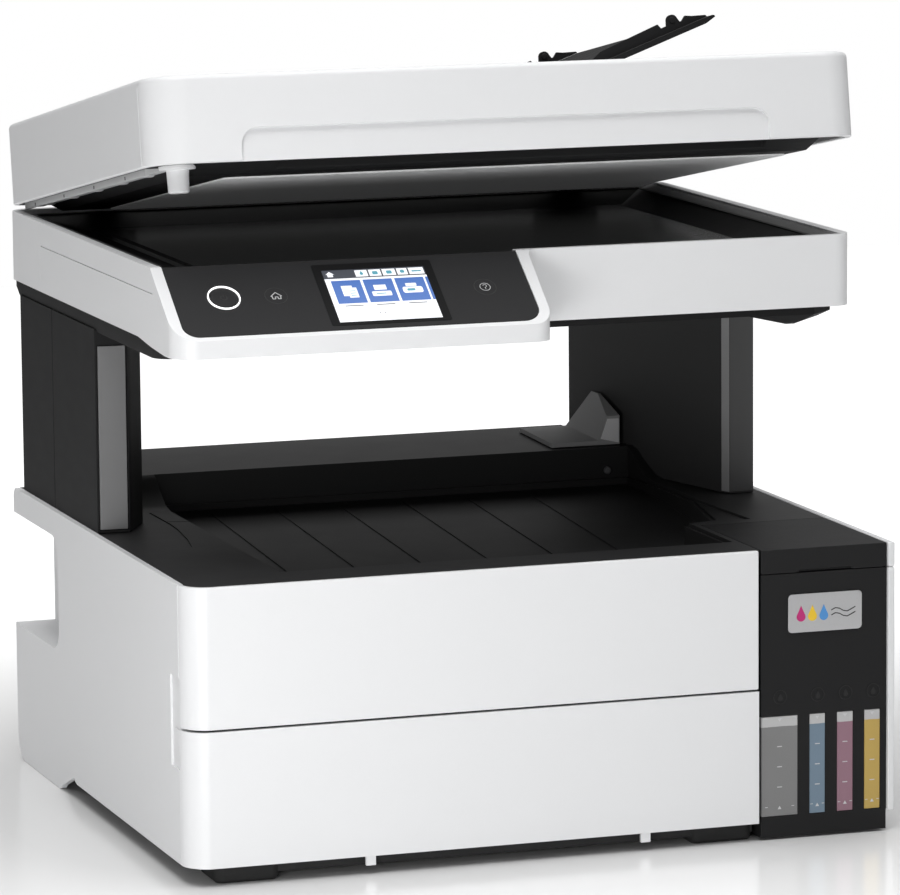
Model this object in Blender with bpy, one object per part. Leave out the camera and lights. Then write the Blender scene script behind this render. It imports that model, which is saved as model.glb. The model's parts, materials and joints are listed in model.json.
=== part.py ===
"""Ink-tank multifunction printer with a document feeder, as an assembly of separate parts.

Metres, +Z up.  Parts are drawn in a corner frame: x runs from the left side to the right,
y from the front face to the rear and z up from the floor.  The empty `printer` moves that
corner so that the origin is under the middle of the body.
"""
import math

import bmesh
import bpy
from mathutils import Matrix, Vector

# ---- driving dimensions ------------------------------------------------------------------
WIDTH = 0.375
DEPTH = 0.347
GAP = 0.0003                    # clearance between neighbouring parts
WALL = 0.003                    # thickness of the outer shells

BODY_REAR = 0.338               # rear face of the base
BODY_BOTTOM = 0.0093            # lower edge of the white panels
DECK_TOP = 0.1495               # top of the base
FRONT_SPLIT = 0.0776            # top edge of the paper cassette's front
FRONT_END = 0.3007              # where the white front meets the ink tank unit
CORNER_RADIUS = 0.014           # upright corner at the front left
RAMP_START = 0.230              # the deck rises from here
RAMP_END = 0.262                # to a level shelf at the rear
SHELF_FRONT = 0.1645
SHELF_REAR = 0.1665
RECESS_FRONT = 0.032            # front edge of the sunk output tray

TANK_LEFT = 0.3025
TANK_RIGHT = 0.3712
TANK_FRONT = 0.002
TANK_REAR = 0.0847
TANK_SPLIT = 0.1372             # parting line under the filling cover
WINDOW_LOW = 0.0118
WINDOW_HIGH = 0.0638
TANK_TOP = 0.100

SCANNER_LOW = 0.2645
SCANNER_TOP = 0.3015
SCANNER_REAR = 0.340
SCANNER_FRONT = 0.056           # front face right of the control panel
CHIN_FRONT = 0.010
CHIN_LOW = 0.2607
CHIN_TOP = 0.2697
CHIN_RIGHT = 0.196
PANEL_RIGHT = 0.1905            # right edge of the black control panel
GLASS_TOP = 0.292
PANEL_ANGLE = math.radians(35.6)
PANEL_HOME = Vector((0, 0.0229, 0.279))     # foot of the control panel's sloped plane

LID_LOW = 0.3022
LID_TOP = 0.3459
LID_FRONT = 0.041
LID_REAR = 0.335
LID_TILT = math.radians(9.7)    # how far the lid stands open at rest
LID_HINGE = Vector((WIDTH / 2, 0.3433, 0.3038))

FEEDER_LEFT = 0.030             # recess for the document feeder in the lid's top
FEEDER_RIGHT = 0.262
FEEDER_FRONT = 0.098
FEEDER_REAR = 0.312
FEEDER_MIDDLE = (FEEDER_FRONT + FEEDER_REAR) / 2
FEEDER_FLOOR = 0.330
COVER_END = 0.150
COVER_THICKNESS = 0.0026
COVER_LIP = 0.006
COVER_HINGE = (0.0345, 0.3438)
COVER_CURL = 0.0021             # the cover's left edge is rolled round its hinge line
TRAY_HINGE_X = 0.250
TRAY_LENGTH = 0.077
TRAY_TILT = math.radians(20)

CASSETTE_LEFT = 0.018
CASSETTE_RIGHT = 0.284
CASSETTE_REAR = 0.305
CASSETTE_LOW = 0.0126
CASSETTE_TOP = 0.060

RAIL_Y = 0.255
RAIL_Z = 0.122
ROLLER_Y = 0.196
ROLLER_Z = 0.096

X, Y, Z = Vector((1, 0, 0)), Vector((0, 1, 0)), Vector((0, 0, 1))

# colour, roughness, metallic
FINISHES = {
    "white_shell": ((0.86, 0.87, 0.88), 0.38, 0.0),
    "charcoal_shell": ((0.035, 0.035, 0.037), 0.45, 0.0),
    "black_gloss": ((0.012, 0.012, 0.013), 0.12, 0.0),
    "grey_plastic": ((0.18, 0.18, 0.185), 0.5, 0.0),
    "mat_grey": ((0.55, 0.56, 0.57), 0.7, 0.0),
    "rubber": ((0.02, 0.02, 0.02), 0.85, 0.0),
    "glass": ((0.05, 0.06, 0.06), 0.05, 0.0),
    "steel": ((0.62, 0.63, 0.65), 0.3, 1.0),
    "badge_metal": ((0.6, 0.6, 0.62), 0.3, 1.0),
    "circuit_board": ((0.02, 0.2, 0.07), 0.5, 0.0),
    "ink_black": ((0.2, 0.2, 0.2), 0.3, 0.0),
    "ink_cyan": ((0.15, 0.32, 0.5), 0.3, 0.0),
    "ink_magenta": ((0.45, 0.2, 0.32), 0.3, 0.0),
    "ink_yellow": ((0.75, 0.55, 0.1), 0.3, 0.0),
}


# ---- small modelling kit -----------------------------------------------------------------
def clear_scene():
    for thing in list(bpy.data.objects):
        bpy.data.objects.remove(thing)


def finish_material(name):
    found = bpy.data.materials.get(name)
    if found:
        return found
    colour, roughness, metallic = FINISHES[name]
    made = bpy.data.materials.new(name)
    made.use_nodes = True
    shader = made.node_tree.nodes["Principled BSDF"]
    shader.inputs["Base Color"].default_value = (*colour, 1)
    shader.inputs["Roughness"].default_value = roughness
    shader.inputs["Metallic"].default_value = metallic
    return made


class Frame:
    """An empty that parts hang from; `home` is where it stands in its parent's drawing."""

    def __init__(self, name, home, parent=None, turn=(0, 0, 0)):
        self.home = Vector(home)
        self.empty = bpy.data.objects.new(name, None)
        bpy.context.collection.objects.link(self.empty)
        if parent:
            self.empty.parent = parent.empty
            self.empty.location = self.home - parent.home
        else:
            self.empty.location = self.home
        self.empty.rotation_euler = turn


def mesh_object(name, shape, frame, origin):
    """Make an object from a shape drawn in the frame's coordinates, with its own origin."""
    bmesh.ops.translate(shape, verts=shape.verts, vec=-Vector(origin))
    bmesh.ops.recalc_face_normals(shape, faces=shape.faces)
    data = bpy.data.meshes.new(name)
    shape.to_mesh(data)
    shape.free()
    made = bpy.data.objects.new(name, data)
    bpy.context.collection.objects.link(made)
    made.parent = frame.empty
    made.location = Vector(origin) - frame.home
    return made


FRAME_OF = {}


def part(name, shape, finish, frame, origin=None):
    """Make one finished part and remember the frame it is drawn in."""
    origin = Vector(origin) if origin else frame.home
    made = mesh_object(name, shape, frame, origin)
    made.data.shade_smooth()
    made.data.set_sharp_from_angle(angle=math.radians(35))
    made.data.materials.append(finish_material(finish))
    FRAME_OF[made.name] = frame
    return made


def combine(target, shape, operation):
    """Cut a shape out of a part, add it to the part, or keep what both share."""
    frame = FRAME_OF[target.name]
    tool = mesh_object(target.name + "_tool", shape, frame, frame.home)
    tool.hide_render = True
    tool.display_type = "WIRE"
    step = target.modifiers.new(operation.lower(), "BOOLEAN")
    step.operation = operation
    step.object = tool


def cut(target, shape):
    combine(target, shape, "DIFFERENCE")


def fuse(target, shape):
    combine(target, shape, "UNION")


def keep(target, shape):
    combine(target, shape, "INTERSECT")


def box(low, high, radius=0.0):
    low, high = Vector(low), Vector(high)
    shape = bmesh.new()
    size = Matrix.Diagonal((*(high - low), 1))
    bmesh.ops.create_cube(shape, size=1, matrix=Matrix.Translation((low + high) / 2) @ size)
    if radius:
        bmesh.ops.bevel(shape, geom=shape.edges[:], offset=radius, segments=2, affect="EDGES",
                        profile=0.5)
    return shape


def prism(outline, axis, low, high):
    """Extrude an outline along an axis; its points are the two other coordinates in order."""
    def point(u, v, w):
        return {"x": (w, u, v), "y": (u, w, v), "z": (u, v, w)}[axis]

    shape = bmesh.new()
    face = shape.faces.new([shape.verts.new(point(u, v, low)) for u, v in outline])
    grown = bmesh.ops.extrude_face_region(shape, geom=[face])
    lifted = [item for item in grown["geom"] if isinstance(item, bmesh.types.BMVert)]
    along = {"x": X, "y": Y, "z": Z}[axis]
    bmesh.ops.translate(shape, verts=lifted, vec=along * (high - low))
    return shape


def arc(centre, radius, start, end, steps=6):
    """Points on a circle between two angles in degrees."""
    points = []
    for step in range(steps + 1):
        angle = math.radians(start + (end - start) * step / steps)
        points.append((centre[0] + radius * math.cos(angle), centre[1] + radius * math.sin(angle)))
    return points


def rounded(left, low, right, high, radii, steps=5):
    """A rectangle whose corners (low-left, low-right, high-right, high-left) are rounded."""
    corners = ((left, low, 1, 1, 180), (right, low, -1, 1, 270),
               (right, high, -1, -1, 0), (left, high, 1, -1, 90))
    points = []
    for (u, v, du, dv, start), radius in zip(corners, radii):
        if radius:
            centre = (u + du * radius, v + dv * radius)
            points += arc(centre, radius, start, start + 90, steps)
        else:
            points.append((u, v))
    return points


def rod(axis, centre, radius, low, high, sides=28):
    """A round bar along an axis; `centre` is its place in the two other coordinates."""
    return prism(arc(centre, radius, 0, 360 - 360 / sides, sides - 1), axis, low, high)


def grown(outline, margin):
    """A convex outline moved outwards by a margin."""
    middle = (sum(p[0] for p in outline) / len(outline), sum(p[1] for p in outline) / len(outline))
    points = []
    for u, v in outline:
        reach = math.hypot(u - middle[0], v - middle[1])
        factor = 1 + margin / reach
        points.append((middle[0] + (u - middle[0]) * factor, middle[1] + (v - middle[1]) * factor))
    return points


# ---- base --------------------------------------------------------------------------------
FOOT_PLACES = {"foot_front_left": (0.015, 0.006), "foot_front_right": (0.266, 0.006),
               "foot_rear_left": (0.015, 0.270), "foot_rear_right": (0.330, 0.270)}
FOOT_WIDTH = 0.034
FOOT_DEPTH = 0.030
PAN_LOW = 0.009
PAN_TOP = 0.012


def build_base_pan(base):
    pan = part("base_pan", box((WALL + GAP, CORNER_RADIUS, PAN_LOW), (TANK_RIGHT - GAP, 0.3345, PAN_TOP)),
               "charcoal_shell", base)
    cut(pan, box((TANK_LEFT - GAP, 0, 0), (WIDTH, TANK_REAR + GAP, DECK_TOP)))
    for name, (left, front) in FOOT_PLACES.items():
        outline = rounded(left, front, left + FOOT_WIDTH, front + FOOT_DEPTH, (0.005,) * 4)
        part(name, prism(outline, "z", 0, PAN_LOW - GAP), "rubber", base)


PORT_FRONT = 0.247
PORT_LOW = 0.075
PORT_HIGH = 0.136
PORT_DEPTH = 0.022


def build_left_side(base):
    """White side shell with a stepped lower edge and the undercut that holds the sockets."""
    seam, rear = CORNER_RADIUS, SCANNER_REAR
    outline = [(seam, BODY_BOTTOM), (0.216, BODY_BOTTOM), (0.251, 0), (0.325, 0)]
    outline += arc((rear - 0.015, 0.015), 0.015, 270, 360)
    outline += arc((rear - 0.006, DECK_TOP - 0.006), 0.006, 0, 90) + [(seam, DECK_TOP)]
    side = part("left_side_panel", prism(outline, "x", 0, WALL), "white_shell", base)
    pocket = box((0, PORT_FRONT - WALL, PORT_LOW - WALL), (PORT_DEPTH + WALL, rear, PORT_HIGH + WALL))
    fuse(side, pocket)
    hollow = rounded(PORT_FRONT, PORT_LOW, rear + WALL, PORT_HIGH, (0.012, 0, 0, 0.012))
    cut(side, prism(hollow, "x", -WALL, PORT_DEPTH))
    sockets = part("port_block", box((PORT_DEPTH - 0.002, 0.262, 0.082), (0.030, 0.320, 0.124)),
                   "grey_plastic", base)
    cut(side, box((PORT_DEPTH - 0.004, 0.262 - GAP, 0.082 - GAP), (0.04, 0.320 + GAP, 0.124 + GAP)))
    cut(sockets, box((0, 0.268, 0.088), (0.027, 0.281, 0.101)))
    cut(sockets, box((0, 0.290, 0.088), (0.027, 0.306, 0.102)))


def build_right_side(base):
    """White side shell, notched at the front where the filling cover carries its own strip."""
    outline = [(0, 0.0108), (0.240, 0.0108), (0.262, 0), (0.325, 0), (BODY_REAR, 0.012),
               (BODY_REAR, DECK_TOP), (TANK_REAR + GAP, DECK_TOP), (TANK_REAR + GAP, TANK_SPLIT - GAP),
               (0, TANK_SPLIT - GAP)]
    part("right_side_panel", prism(outline, "x", TANK_RIGHT + GAP, WIDTH), "white_shell", base)


def front_outline():
    """Plan of the white front: it turns the left corner and stops at the ink tanks."""
    centre = (CORNER_RADIUS, CORNER_RADIUS)
    outer = arc(centre, CORNER_RADIUS, 180, 270, 8)
    inner = arc(centre, CORNER_RADIUS - WALL, 270, 180, 8)
    return outer + [(FRONT_END, 0), (FRONT_END, WALL)] + inner


def build_front(base):
    part("front_panel", prism([(u, v - GAP * (v > 0.013)) for u, v in front_outline()], "z",
                              FRONT_SPLIT + 0.001, DECK_TOP), "white_shell", base)


LEFT_COLUMN = [(0.003, 0.174), (0.020, 0.173), (0.034, 0.199), (0.040, 0.328), (0.003, 0.328)]
RIGHT_COLUMN = [(0.3569, 0.174), (0.3695, 0.174), (0.3695, 0.328), (0.317, 0.328), (0.330, 0.267),
                (0.3531, 0.179)]
COLUMN_LOW = DECK_TOP + GAP
COLUMN_TOP = 0.2562
TRAY_OPENING = [(0.058, RECESS_FRONT), (0.299, RECESS_FRONT), (0.299, 0.094), (0.317, 0.098),
                (0.331, 0.169), (0.3315, 0.215), (0.3275, RAMP_END), (0.058, RAMP_END)]
TRAY_FLOOR_FRONT = 0.128
TRAY_FLOOR_REAR = 0.144


def tray_floor_height(y):
    return TRAY_FLOOR_FRONT + (TRAY_FLOOR_REAR - TRAY_FLOOR_FRONT) * y / RAMP_END


def lay_lower_face(shape, height_at):
    """Lay the lower face of an upright prism onto a height that changes from front to rear."""
    for vert in shape.verts:
        if vert.co.z < DECK_TOP:
            vert.co.z = height_at(vert.co.y)
    return shape


def shelf_height(y):
    """Height of the shelf at the rear of the deck."""
    return SHELF_FRONT + (SHELF_REAR - SHELF_FRONT) * (y - RAMP_END) / (BODY_REAR - RAMP_END)


def build_deck(base):
    """Dark top of the base: a shelf at the rear, and sunk in front of it for printed sheets."""
    rear = BODY_REAR
    under = DECK_TOP - 0.0037
    profile = [(WALL + GAP, DECK_TOP), (RAMP_START, DECK_TOP), (RAMP_END, SHELF_FRONT),
               (rear, SHELF_REAR), (rear, under), (WALL + GAP, under)]
    deck = part("deck", prism(profile, "x", WALL + GAP, TANK_RIGHT - GAP), "charcoal_shell", base)
    hollow = [(RAMP_END + WALL, SHELF_FRONT - WALL), (rear - WALL, SHELF_REAR - WALL),
              (rear - WALL, 0.140), (RAMP_END + WALL, 0.140)]
    cut(deck, prism(hollow, "x", 0.044, 0.310))
    corner = rounded(WALL + GAP, WALL + GAP, TANK_RIGHT - GAP, SCANNER_REAR,
                     (CORNER_RADIUS - WALL, 0, 0, 0))
    keep(deck, prism(corner, "z", 0, SCANNER_LOW))
    cut(deck, box((TANK_LEFT - GAP, 0, 0.1), (WIDTH, TANK_REAR + 2 * GAP, 0.2)))
    cut(deck, prism(TRAY_OPENING, "z", 0.1, 0.2))
    for outline in (LEFT_COLUMN, RIGHT_COLUMN):
        cut(deck, prism(grown(outline, 0.0006), "z", DECK_TOP, 0.2))
    for left, front, right in ((0, RAMP_START, 0.004), (0, 0.327, 0.041), (0.369, RAMP_START, WIDTH),
                               (0.316, 0.327, WIDTH)):
        cut(deck, box((left, front, DECK_TOP), (right, DEPTH, 0.2)))

    bowl = part("output_tray", prism(grown(TRAY_OPENING, -0.0006), "z", 0.110, DECK_TOP - 0.002),
                "charcoal_shell", base)
    below = [(0, 0.1), (BODY_REAR, 0.1), (BODY_REAR, TRAY_FLOOR_REAR), (0, TRAY_FLOOR_FRONT - WALL)]
    cut(bowl, prism(below, "x", 0, WIDTH))
    hollow = prism(grown(TRAY_OPENING, -0.0026), "z", 0.1, 0.2)
    cut(bowl, lay_lower_face(hollow, tray_floor_height))


def build_columns(base):
    left = part("left_column", prism(LEFT_COLUMN, "z", COLUMN_LOW, COLUMN_TOP), "charcoal_shell", base)
    cut(left, box((0, 0.2605, 0.1), (0.0038, 0.2615, 0.3)))
    cut(left, box((0.0040, 0.170, DECK_TOP + 0.0015), (0.0198, 0.1752, COLUMN_TOP - 0.0085)))
    part("right_column", prism(RIGHT_COLUMN, "z", COLUMN_LOW, COLUMN_TOP), "charcoal_shell", base)


GUIDE_FRONT, GUIDE_REAR = 0.267, 0.321
GUIDE_LEFT, GUIDE_RIGHT = 0.285, 0.3252
GUIDE_PLATE = 0.0025            # thickness of its foot plate


def build_paper_guide(base):
    """Grey sheet stop on the shelf: a flat foot with an upright, tapered fin."""
    lift = GAP + 0.0002
    side = [(GUIDE_FRONT, shelf_height(GUIDE_FRONT) + lift), (GUIDE_REAR, shelf_height(GUIDE_REAR) + lift),
            (0.300, 0.1905), (0.288, 0.1905), (GUIDE_FRONT, 0.1810)]
    guide = part("output_paper_guide", prism(side, "x", GUIDE_LEFT, GUIDE_RIGHT), "grey_plastic", base)
    before, behind = GUIDE_FRONT - WALL, GUIDE_REAR + WALL
    foot = [(GUIDE_LEFT, before), (GUIDE_RIGHT, before), (0.3165, behind), (GUIDE_LEFT, behind)]
    keep(guide, prism(foot, "z", DECK_TOP, SCANNER_LOW))
    spare = [(GUIDE_LEFT - WALL, before), (0.3135, before), (0.309, behind), (GUIDE_LEFT - WALL, behind)]
    above = prism(spare, "z", DECK_TOP - WALL, SCANNER_LOW)
    cut(guide, lay_lower_face(above, lambda y: shelf_height(y) + lift + GUIDE_PLATE))


# ---- rear --------------------------------------------------------------------------------
REAR_COVER = (0.070, 0.020, 0.290, 0.138)       # left, low, right, high
BOX_DOOR = (0.306, 0.016, 0.366, 0.062)
INLET = (0.318, 0.086, 0.346, 0.110)


def build_rear(base, rear_cover, ink_pad):
    panel = part("rear_panel", box((0.026, 0.335, PAN_TOP + GAP), (TANK_RIGHT - GAP, BODY_REAR, 0.1455)),
                 "white_shell", base)
    for left, low, right, high in (REAR_COVER, BOX_DOOR, INLET):
        cut(panel, box((left - GAP, 0.33, low - GAP), (right + GAP, 0.35, high + GAP)))
    cut(panel, box((0, 0.33, PORT_LOW - 2 * WALL), (0.028, 0.35, PORT_HIGH + 2 * WALL)))
    inlet = part("ac_inlet", box((INLET[0], 0.316, INLET[1]), (INLET[2], 0.3385, INLET[3])),
                 "rubber", base)
    cut(inlet, prism(rounded(0.322, 0.090, 0.342, 0.106, (0.002,) * 4), "y", 0.322, 0.35))

    left, low, right, high = REAR_COVER
    cover = part("rear_cover", box((left, 0.326, low), (right, DEPTH, high), 0.002), "charcoal_shell",
                 rear_cover)
    cut(cover, box((left + WALL, 0.32, low + WALL), (right - WALL, DEPTH - WALL, high - WALL)))

    left, low, right, high = BOX_DOOR
    part("maintenance_box", box((left, 0.262, low), (right, 0.3385, high), 0.001), "charcoal_shell",
         ink_pad)


# ---- ink tanks ---------------------------------------------------------------------------
# name: left edge, right edge, window left, window right
TANKS = {"black": (0.3053, 0.3252, 0.3022, 0.3228), "cyan": (0.3258, 0.3410, 0.3290, 0.3378),
         "magenta": (0.3416, 0.3559, 0.3441, 0.3531), "yellow": (0.3565, 0.3686, 0.3591, 0.3680)}
CAP_RADIUS = 0.0052
CAP_Y = 0.045


def build_tanks(base, cap_frames):
    housing = part("tank_housing", box((TANK_LEFT, TANK_FRONT, 0.001),
                                       (TANK_RIGHT, TANK_REAR, TANK_SPLIT - GAP)), "black_gloss", base)
    cut(housing, box((TANK_LEFT + 0.0025, TANK_FRONT + 0.0025, 0.006),
                     (TANK_RIGHT - 0.0022, TANK_REAR - 0.0025, 0.2)))
    for colour, (left, right, pane_left, pane_right) in TANKS.items():
        cut(housing, box((pane_left, 0, WINDOW_LOW), (pane_right, TANK_FRONT + 0.003, WINDOW_HIGH)))
        part("ink_tank_" + colour, box((left, TANK_FRONT + 0.0028, 0.0065), (right, 0.0815, TANK_TOP)),
             "ink_" + colour, base)
        middle = (left + right) / 2
        cap = part("tank_cap_" + colour, rod("z", (middle, CAP_Y), CAP_RADIUS, TANK_TOP + GAP,
                                             TANK_TOP + 0.010), "ink_" + colour, cap_frames[colour])
        fuse(cap, box((middle - 0.002, CAP_Y, TANK_TOP + 0.0065),
                      (middle + 0.002, CAP_Y + 0.012, TANK_TOP + 0.009)))
    part("badge", prism(rounded(0.317, 0.1063, 0.3573, 0.1261, (0.0022,) * 4), "y", 0.0012,
                        TANK_FRONT - GAP), "badge_metal", base)


def build_tank_cover(tank_cover):
    low, high = TANK_SPLIT, DECK_TOP
    cover = part("tank_cover", box((TANK_LEFT, TANK_FRONT - 0.0004, low), (WIDTH, TANK_REAR, high)),
                 "black_gloss", tank_cover)
    cut(cover, box((TANK_LEFT + 0.002, TANK_FRONT + 0.002, low - WALL),
                   (WIDTH - 0.004, TANK_REAR - 0.002, high - 0.0022)))
    cut(cover, box((0.323, 0, low - WALL), (0.352, TANK_FRONT + 0.0012, low + 0.0014)))


# ---- scanner -----------------------------------------------------------------------------
def scanner_outline():
    """Plan of the scanner unit: the control panel stands forward at the left."""
    right = rounded(0, SCANNER_FRONT, WIDTH, SCANNER_REAR, (0, 0.010, 0.012, 0.012))
    neck = [(CHIN_RIGHT - 0.006, CHIN_FRONT + 0.004), (CHIN_RIGHT, CHIN_FRONT + 0.014),
            (CHIN_RIGHT + 0.001, 0.050)] + arc((CHIN_RIGHT + 0.007, 0.050), 0.006, 180, 90, 5)
    chin = arc((0.013, CHIN_FRONT + 0.013), 0.013, 180, 270, 6)
    return chin + neck + right[1:]


def slant_space(low, high, left=-0.01, right=CHIN_RIGHT + 0.0065):
    """Space over the sloped control panel, between two heights above its plane."""
    cosine, sine = math.cos(PANEL_ANGLE), math.sin(PANEL_ANGLE)

    def on_plane(y, height):
        z = PANEL_HOME.z + (y - PANEL_HOME.y) * math.tan(PANEL_ANGLE)
        return (y - height * sine, z + height * cosine)

    foot, crest = on_plane(-0.04, low), on_plane(0.0553, low)
    outline = [foot, crest, (crest[0] - high * sine, crest[1] + high), (foot[0] - high, foot[1] + high)]
    return prism(outline, "x", left, right)


BED = (0.0055, 0.0595, 0.3695, 0.3345)              # left, front, right, rear of the sunk bed
PEG = (0.0195, 0.0665)


def build_scanner(base):
    lower_top = SCANNER_LOW - GAP
    outline = [(0.006, 0.334), (0.006, 0.046), (0.190, 0.046), (0.206, 0.064), (0.350, 0.064),
               (0.368, 0.080), (0.368, 0.334)]
    lower = part("scanner_base", prism(outline, "z", COLUMN_TOP + GAP, lower_top), "charcoal_shell", base)
    cut(lower, box((0.05, 0.1, COLUMN_TOP + WALL), (0.32, 0.3, 0.3)))

    shell = part("scanner_frame", prism(scanner_outline(), "z", SCANNER_LOW, SCANNER_TOP),
                 "white_shell", base)
    chin_side = [(CHIN_FRONT, CHIN_LOW), (0.044, CHIN_LOW), (0.0445, SCANNER_LOW + 0.004),
                 (CHIN_FRONT, CHIN_TOP)]
    chin = prism(chin_side, "x", 0, CHIN_RIGHT - 0.004)
    fuse(shell, chin)
    cut(shell, slant_space(0, 0.06))
    corner = rounded(0, CHIN_FRONT, WIDTH + 0.1, DEPTH, (0.013, 0, 0, 0))
    keep(shell, prism(corner, "z", 0.2, 0.4))
    cut(shell, box((BED[0], BED[1], 0.2), (BED[2], BED[3], 0.4)))
    cut(shell, box((0.010, 0.016, 0.255), (CHIN_RIGHT - 0.010, 0.0595, 0.2665)))


def build_bed(base, scan_bar):
    left, front, right, rear = BED
    bed = part("scanner_bed", box((left + GAP, front + GAP, 0.2662), (right - GAP, rear - GAP, 0.2984)),
               "black_gloss", base)
    cut(bed, box((left + 0.006, front + 0.006, GLASS_TOP), (right - 0.006, rear - 0.006, 0.4)))
    cut(bed, rod("z", PEG, 0.0074, 0.28, 0.4, 20))
    cut(bed, box((0.020, 0.066, 0.2685), (0.355, 0.319, 0.2885)))
    glass_hole = (0.044, 0.092, 0.342, 0.312)
    cut(bed, box((glass_hole[0], glass_hole[1], 0.28), (glass_hole[2], glass_hole[3], 0.3)))
    part("scanner_glass", box((glass_hole[0] + GAP, glass_hole[1] + GAP, GLASS_TOP - 0.003),
                              (glass_hole[2] - GAP, glass_hole[3] - GAP, GLASS_TOP)), "glass", base)
    part("scan_bar", box((0.060, 0.096, 0.2745), (0.078, 0.308, 0.2880), 0.001), "grey_plastic", scan_bar)


def panel_outline(inset, length):
    """Shape of the black control panel on its sloped plane: x and distance up the slope."""
    low = -0.0130 + inset
    return rounded(0.0062 + inset, low, PANEL_RIGHT - inset, length, (0.008, 0.010, 0, 0))


SCREEN = (0.0862, -0.0076, 0.1394, 0.0302)      # left, low, right, high on the sloped plane
POWER = (0.0322, 0.0146)
POWER_RADIUS = 0.0066


def build_control_panel(panel, power):
    length = 0.0385
    face = part("control_panel", prism(panel_outline(0, length), "z", -0.0022, -0.0001), "black_gloss",
                panel)
    cut(bpy.data.objects["scanner_frame"], in_base(prism(panel_outline(-GAP, length + 0.004), "z",
                                                         -0.0025, 0.01)))
    left, low, right, high = SCREEN
    cut(face, box((left - GAP, low - GAP, -0.0012), (right + GAP, high + GAP, 0.01)))
    part("touch_screen", box((left, low, -0.0009), (right, high, 0.0001)), "glass", panel)
    cut(face, rod("z", POWER, POWER_RADIUS + GAP, -0.0016, 0.01, 32))
    part("power_button", rod("z", POWER, POWER_RADIUS, -0.0003, 0.0012, 32), "grey_plastic", power)


def in_base(shape):
    """Move a shape drawn on the control panel's slope into the base's drawing frame."""
    bmesh.ops.rotate(shape, verts=shape.verts, matrix=Matrix.Rotation(PANEL_ANGLE, 3, "X"))
    bmesh.ops.translate(shape, verts=shape.verts, vec=PANEL_HOME)
    return shape


HINGES = {"left": 0.036, "right": 0.303}


def build_hinges(lid):
    """Ears moulded onto the scanner's rear hold the lid's two knuckles."""
    scanner = bpy.data.objects["scanner_frame"]
    for side, left in HINGES.items():
        right = left + 0.036
        y, z = LID_HINGE.y, LID_HINGE.z
        rear = y + 0.0032
        fuse(scanner, box((left, SCANNER_REAR - 0.001, 0.280), (right, rear, 0.2995)))
        for ear in (left, right - 0.008):
            fuse(scanner, box((ear, SCANNER_REAR - 0.001, 0.299), (ear + 0.008, rear, z)))
            fuse(scanner, rod("x", (y, z), 0.0032, ear, ear + 0.008, 20))
        knuckle = part("lid_hinge_" + side, rod("x", (y, z), 0.0030, left + 0.0085, right - 0.0085, 20),
                       "charcoal_shell", lid)
        fuse(knuckle, box((left + 0.0085, LID_REAR + GAP, z), (right - 0.0085, y, z + 0.0030)))
        fuse(knuckle, box((left + 0.0085, LID_REAR + GAP, z), (right - 0.0085, LID_REAR + 0.003, 0.322)))


# ---- lid with document feeder ------------------------------------------------------------
def build_lid(lid):
    outline = rounded(0, LID_FRONT, WIDTH, LID_REAR, (0.020, 0.017, 0.010, 0.010), 7)
    inner = rounded(WALL, LID_FRONT + WALL, WIDTH - WALL, LID_REAR - WALL, (0.017, 0.014, 0.007, 0.007), 7)
    shell = part("lid_shell", prism(outline, "z", LID_LOW, LID_TOP), "white_shell", lid)
    cut(shell, prism(inner, "z", 0.2, LID_TOP - WALL))
    cut(shell, box((FEEDER_LEFT, FEEDER_FRONT, 0.3), (FEEDER_RIGHT, FEEDER_REAR, 0.4)))
    grip = rounded(0.046, 0.29, 0.325, LID_LOW + 0.0165, (0, 0, 0.006, 0.006), 5)
    cut(shell, prism(grip, "y", 0, LID_FRONT + 0.0016))

    under = part("lid_underside", prism(grown(inner, -0.0008), "z", LID_LOW + 0.0008, LID_LOW + 0.0033),
                 "white_shell", lid)
    fuse(under, box((BED[0] + 0.002, BED[1] + 0.002, LID_LOW - 0.0030),
                    (BED[2] - 0.002, BED[3] - 0.0035, LID_LOW + 0.0015)))
    fuse(under, rod("z", PEG, 0.0058, LID_LOW - 0.0130, LID_LOW + 0.0015, 20))
    part("document_mat", box((0.050, 0.090, LID_LOW - 0.0054), (0.353, 0.316, LID_LOW - 0.0033), 0.0006),
         "mat_grey", lid)


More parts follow.
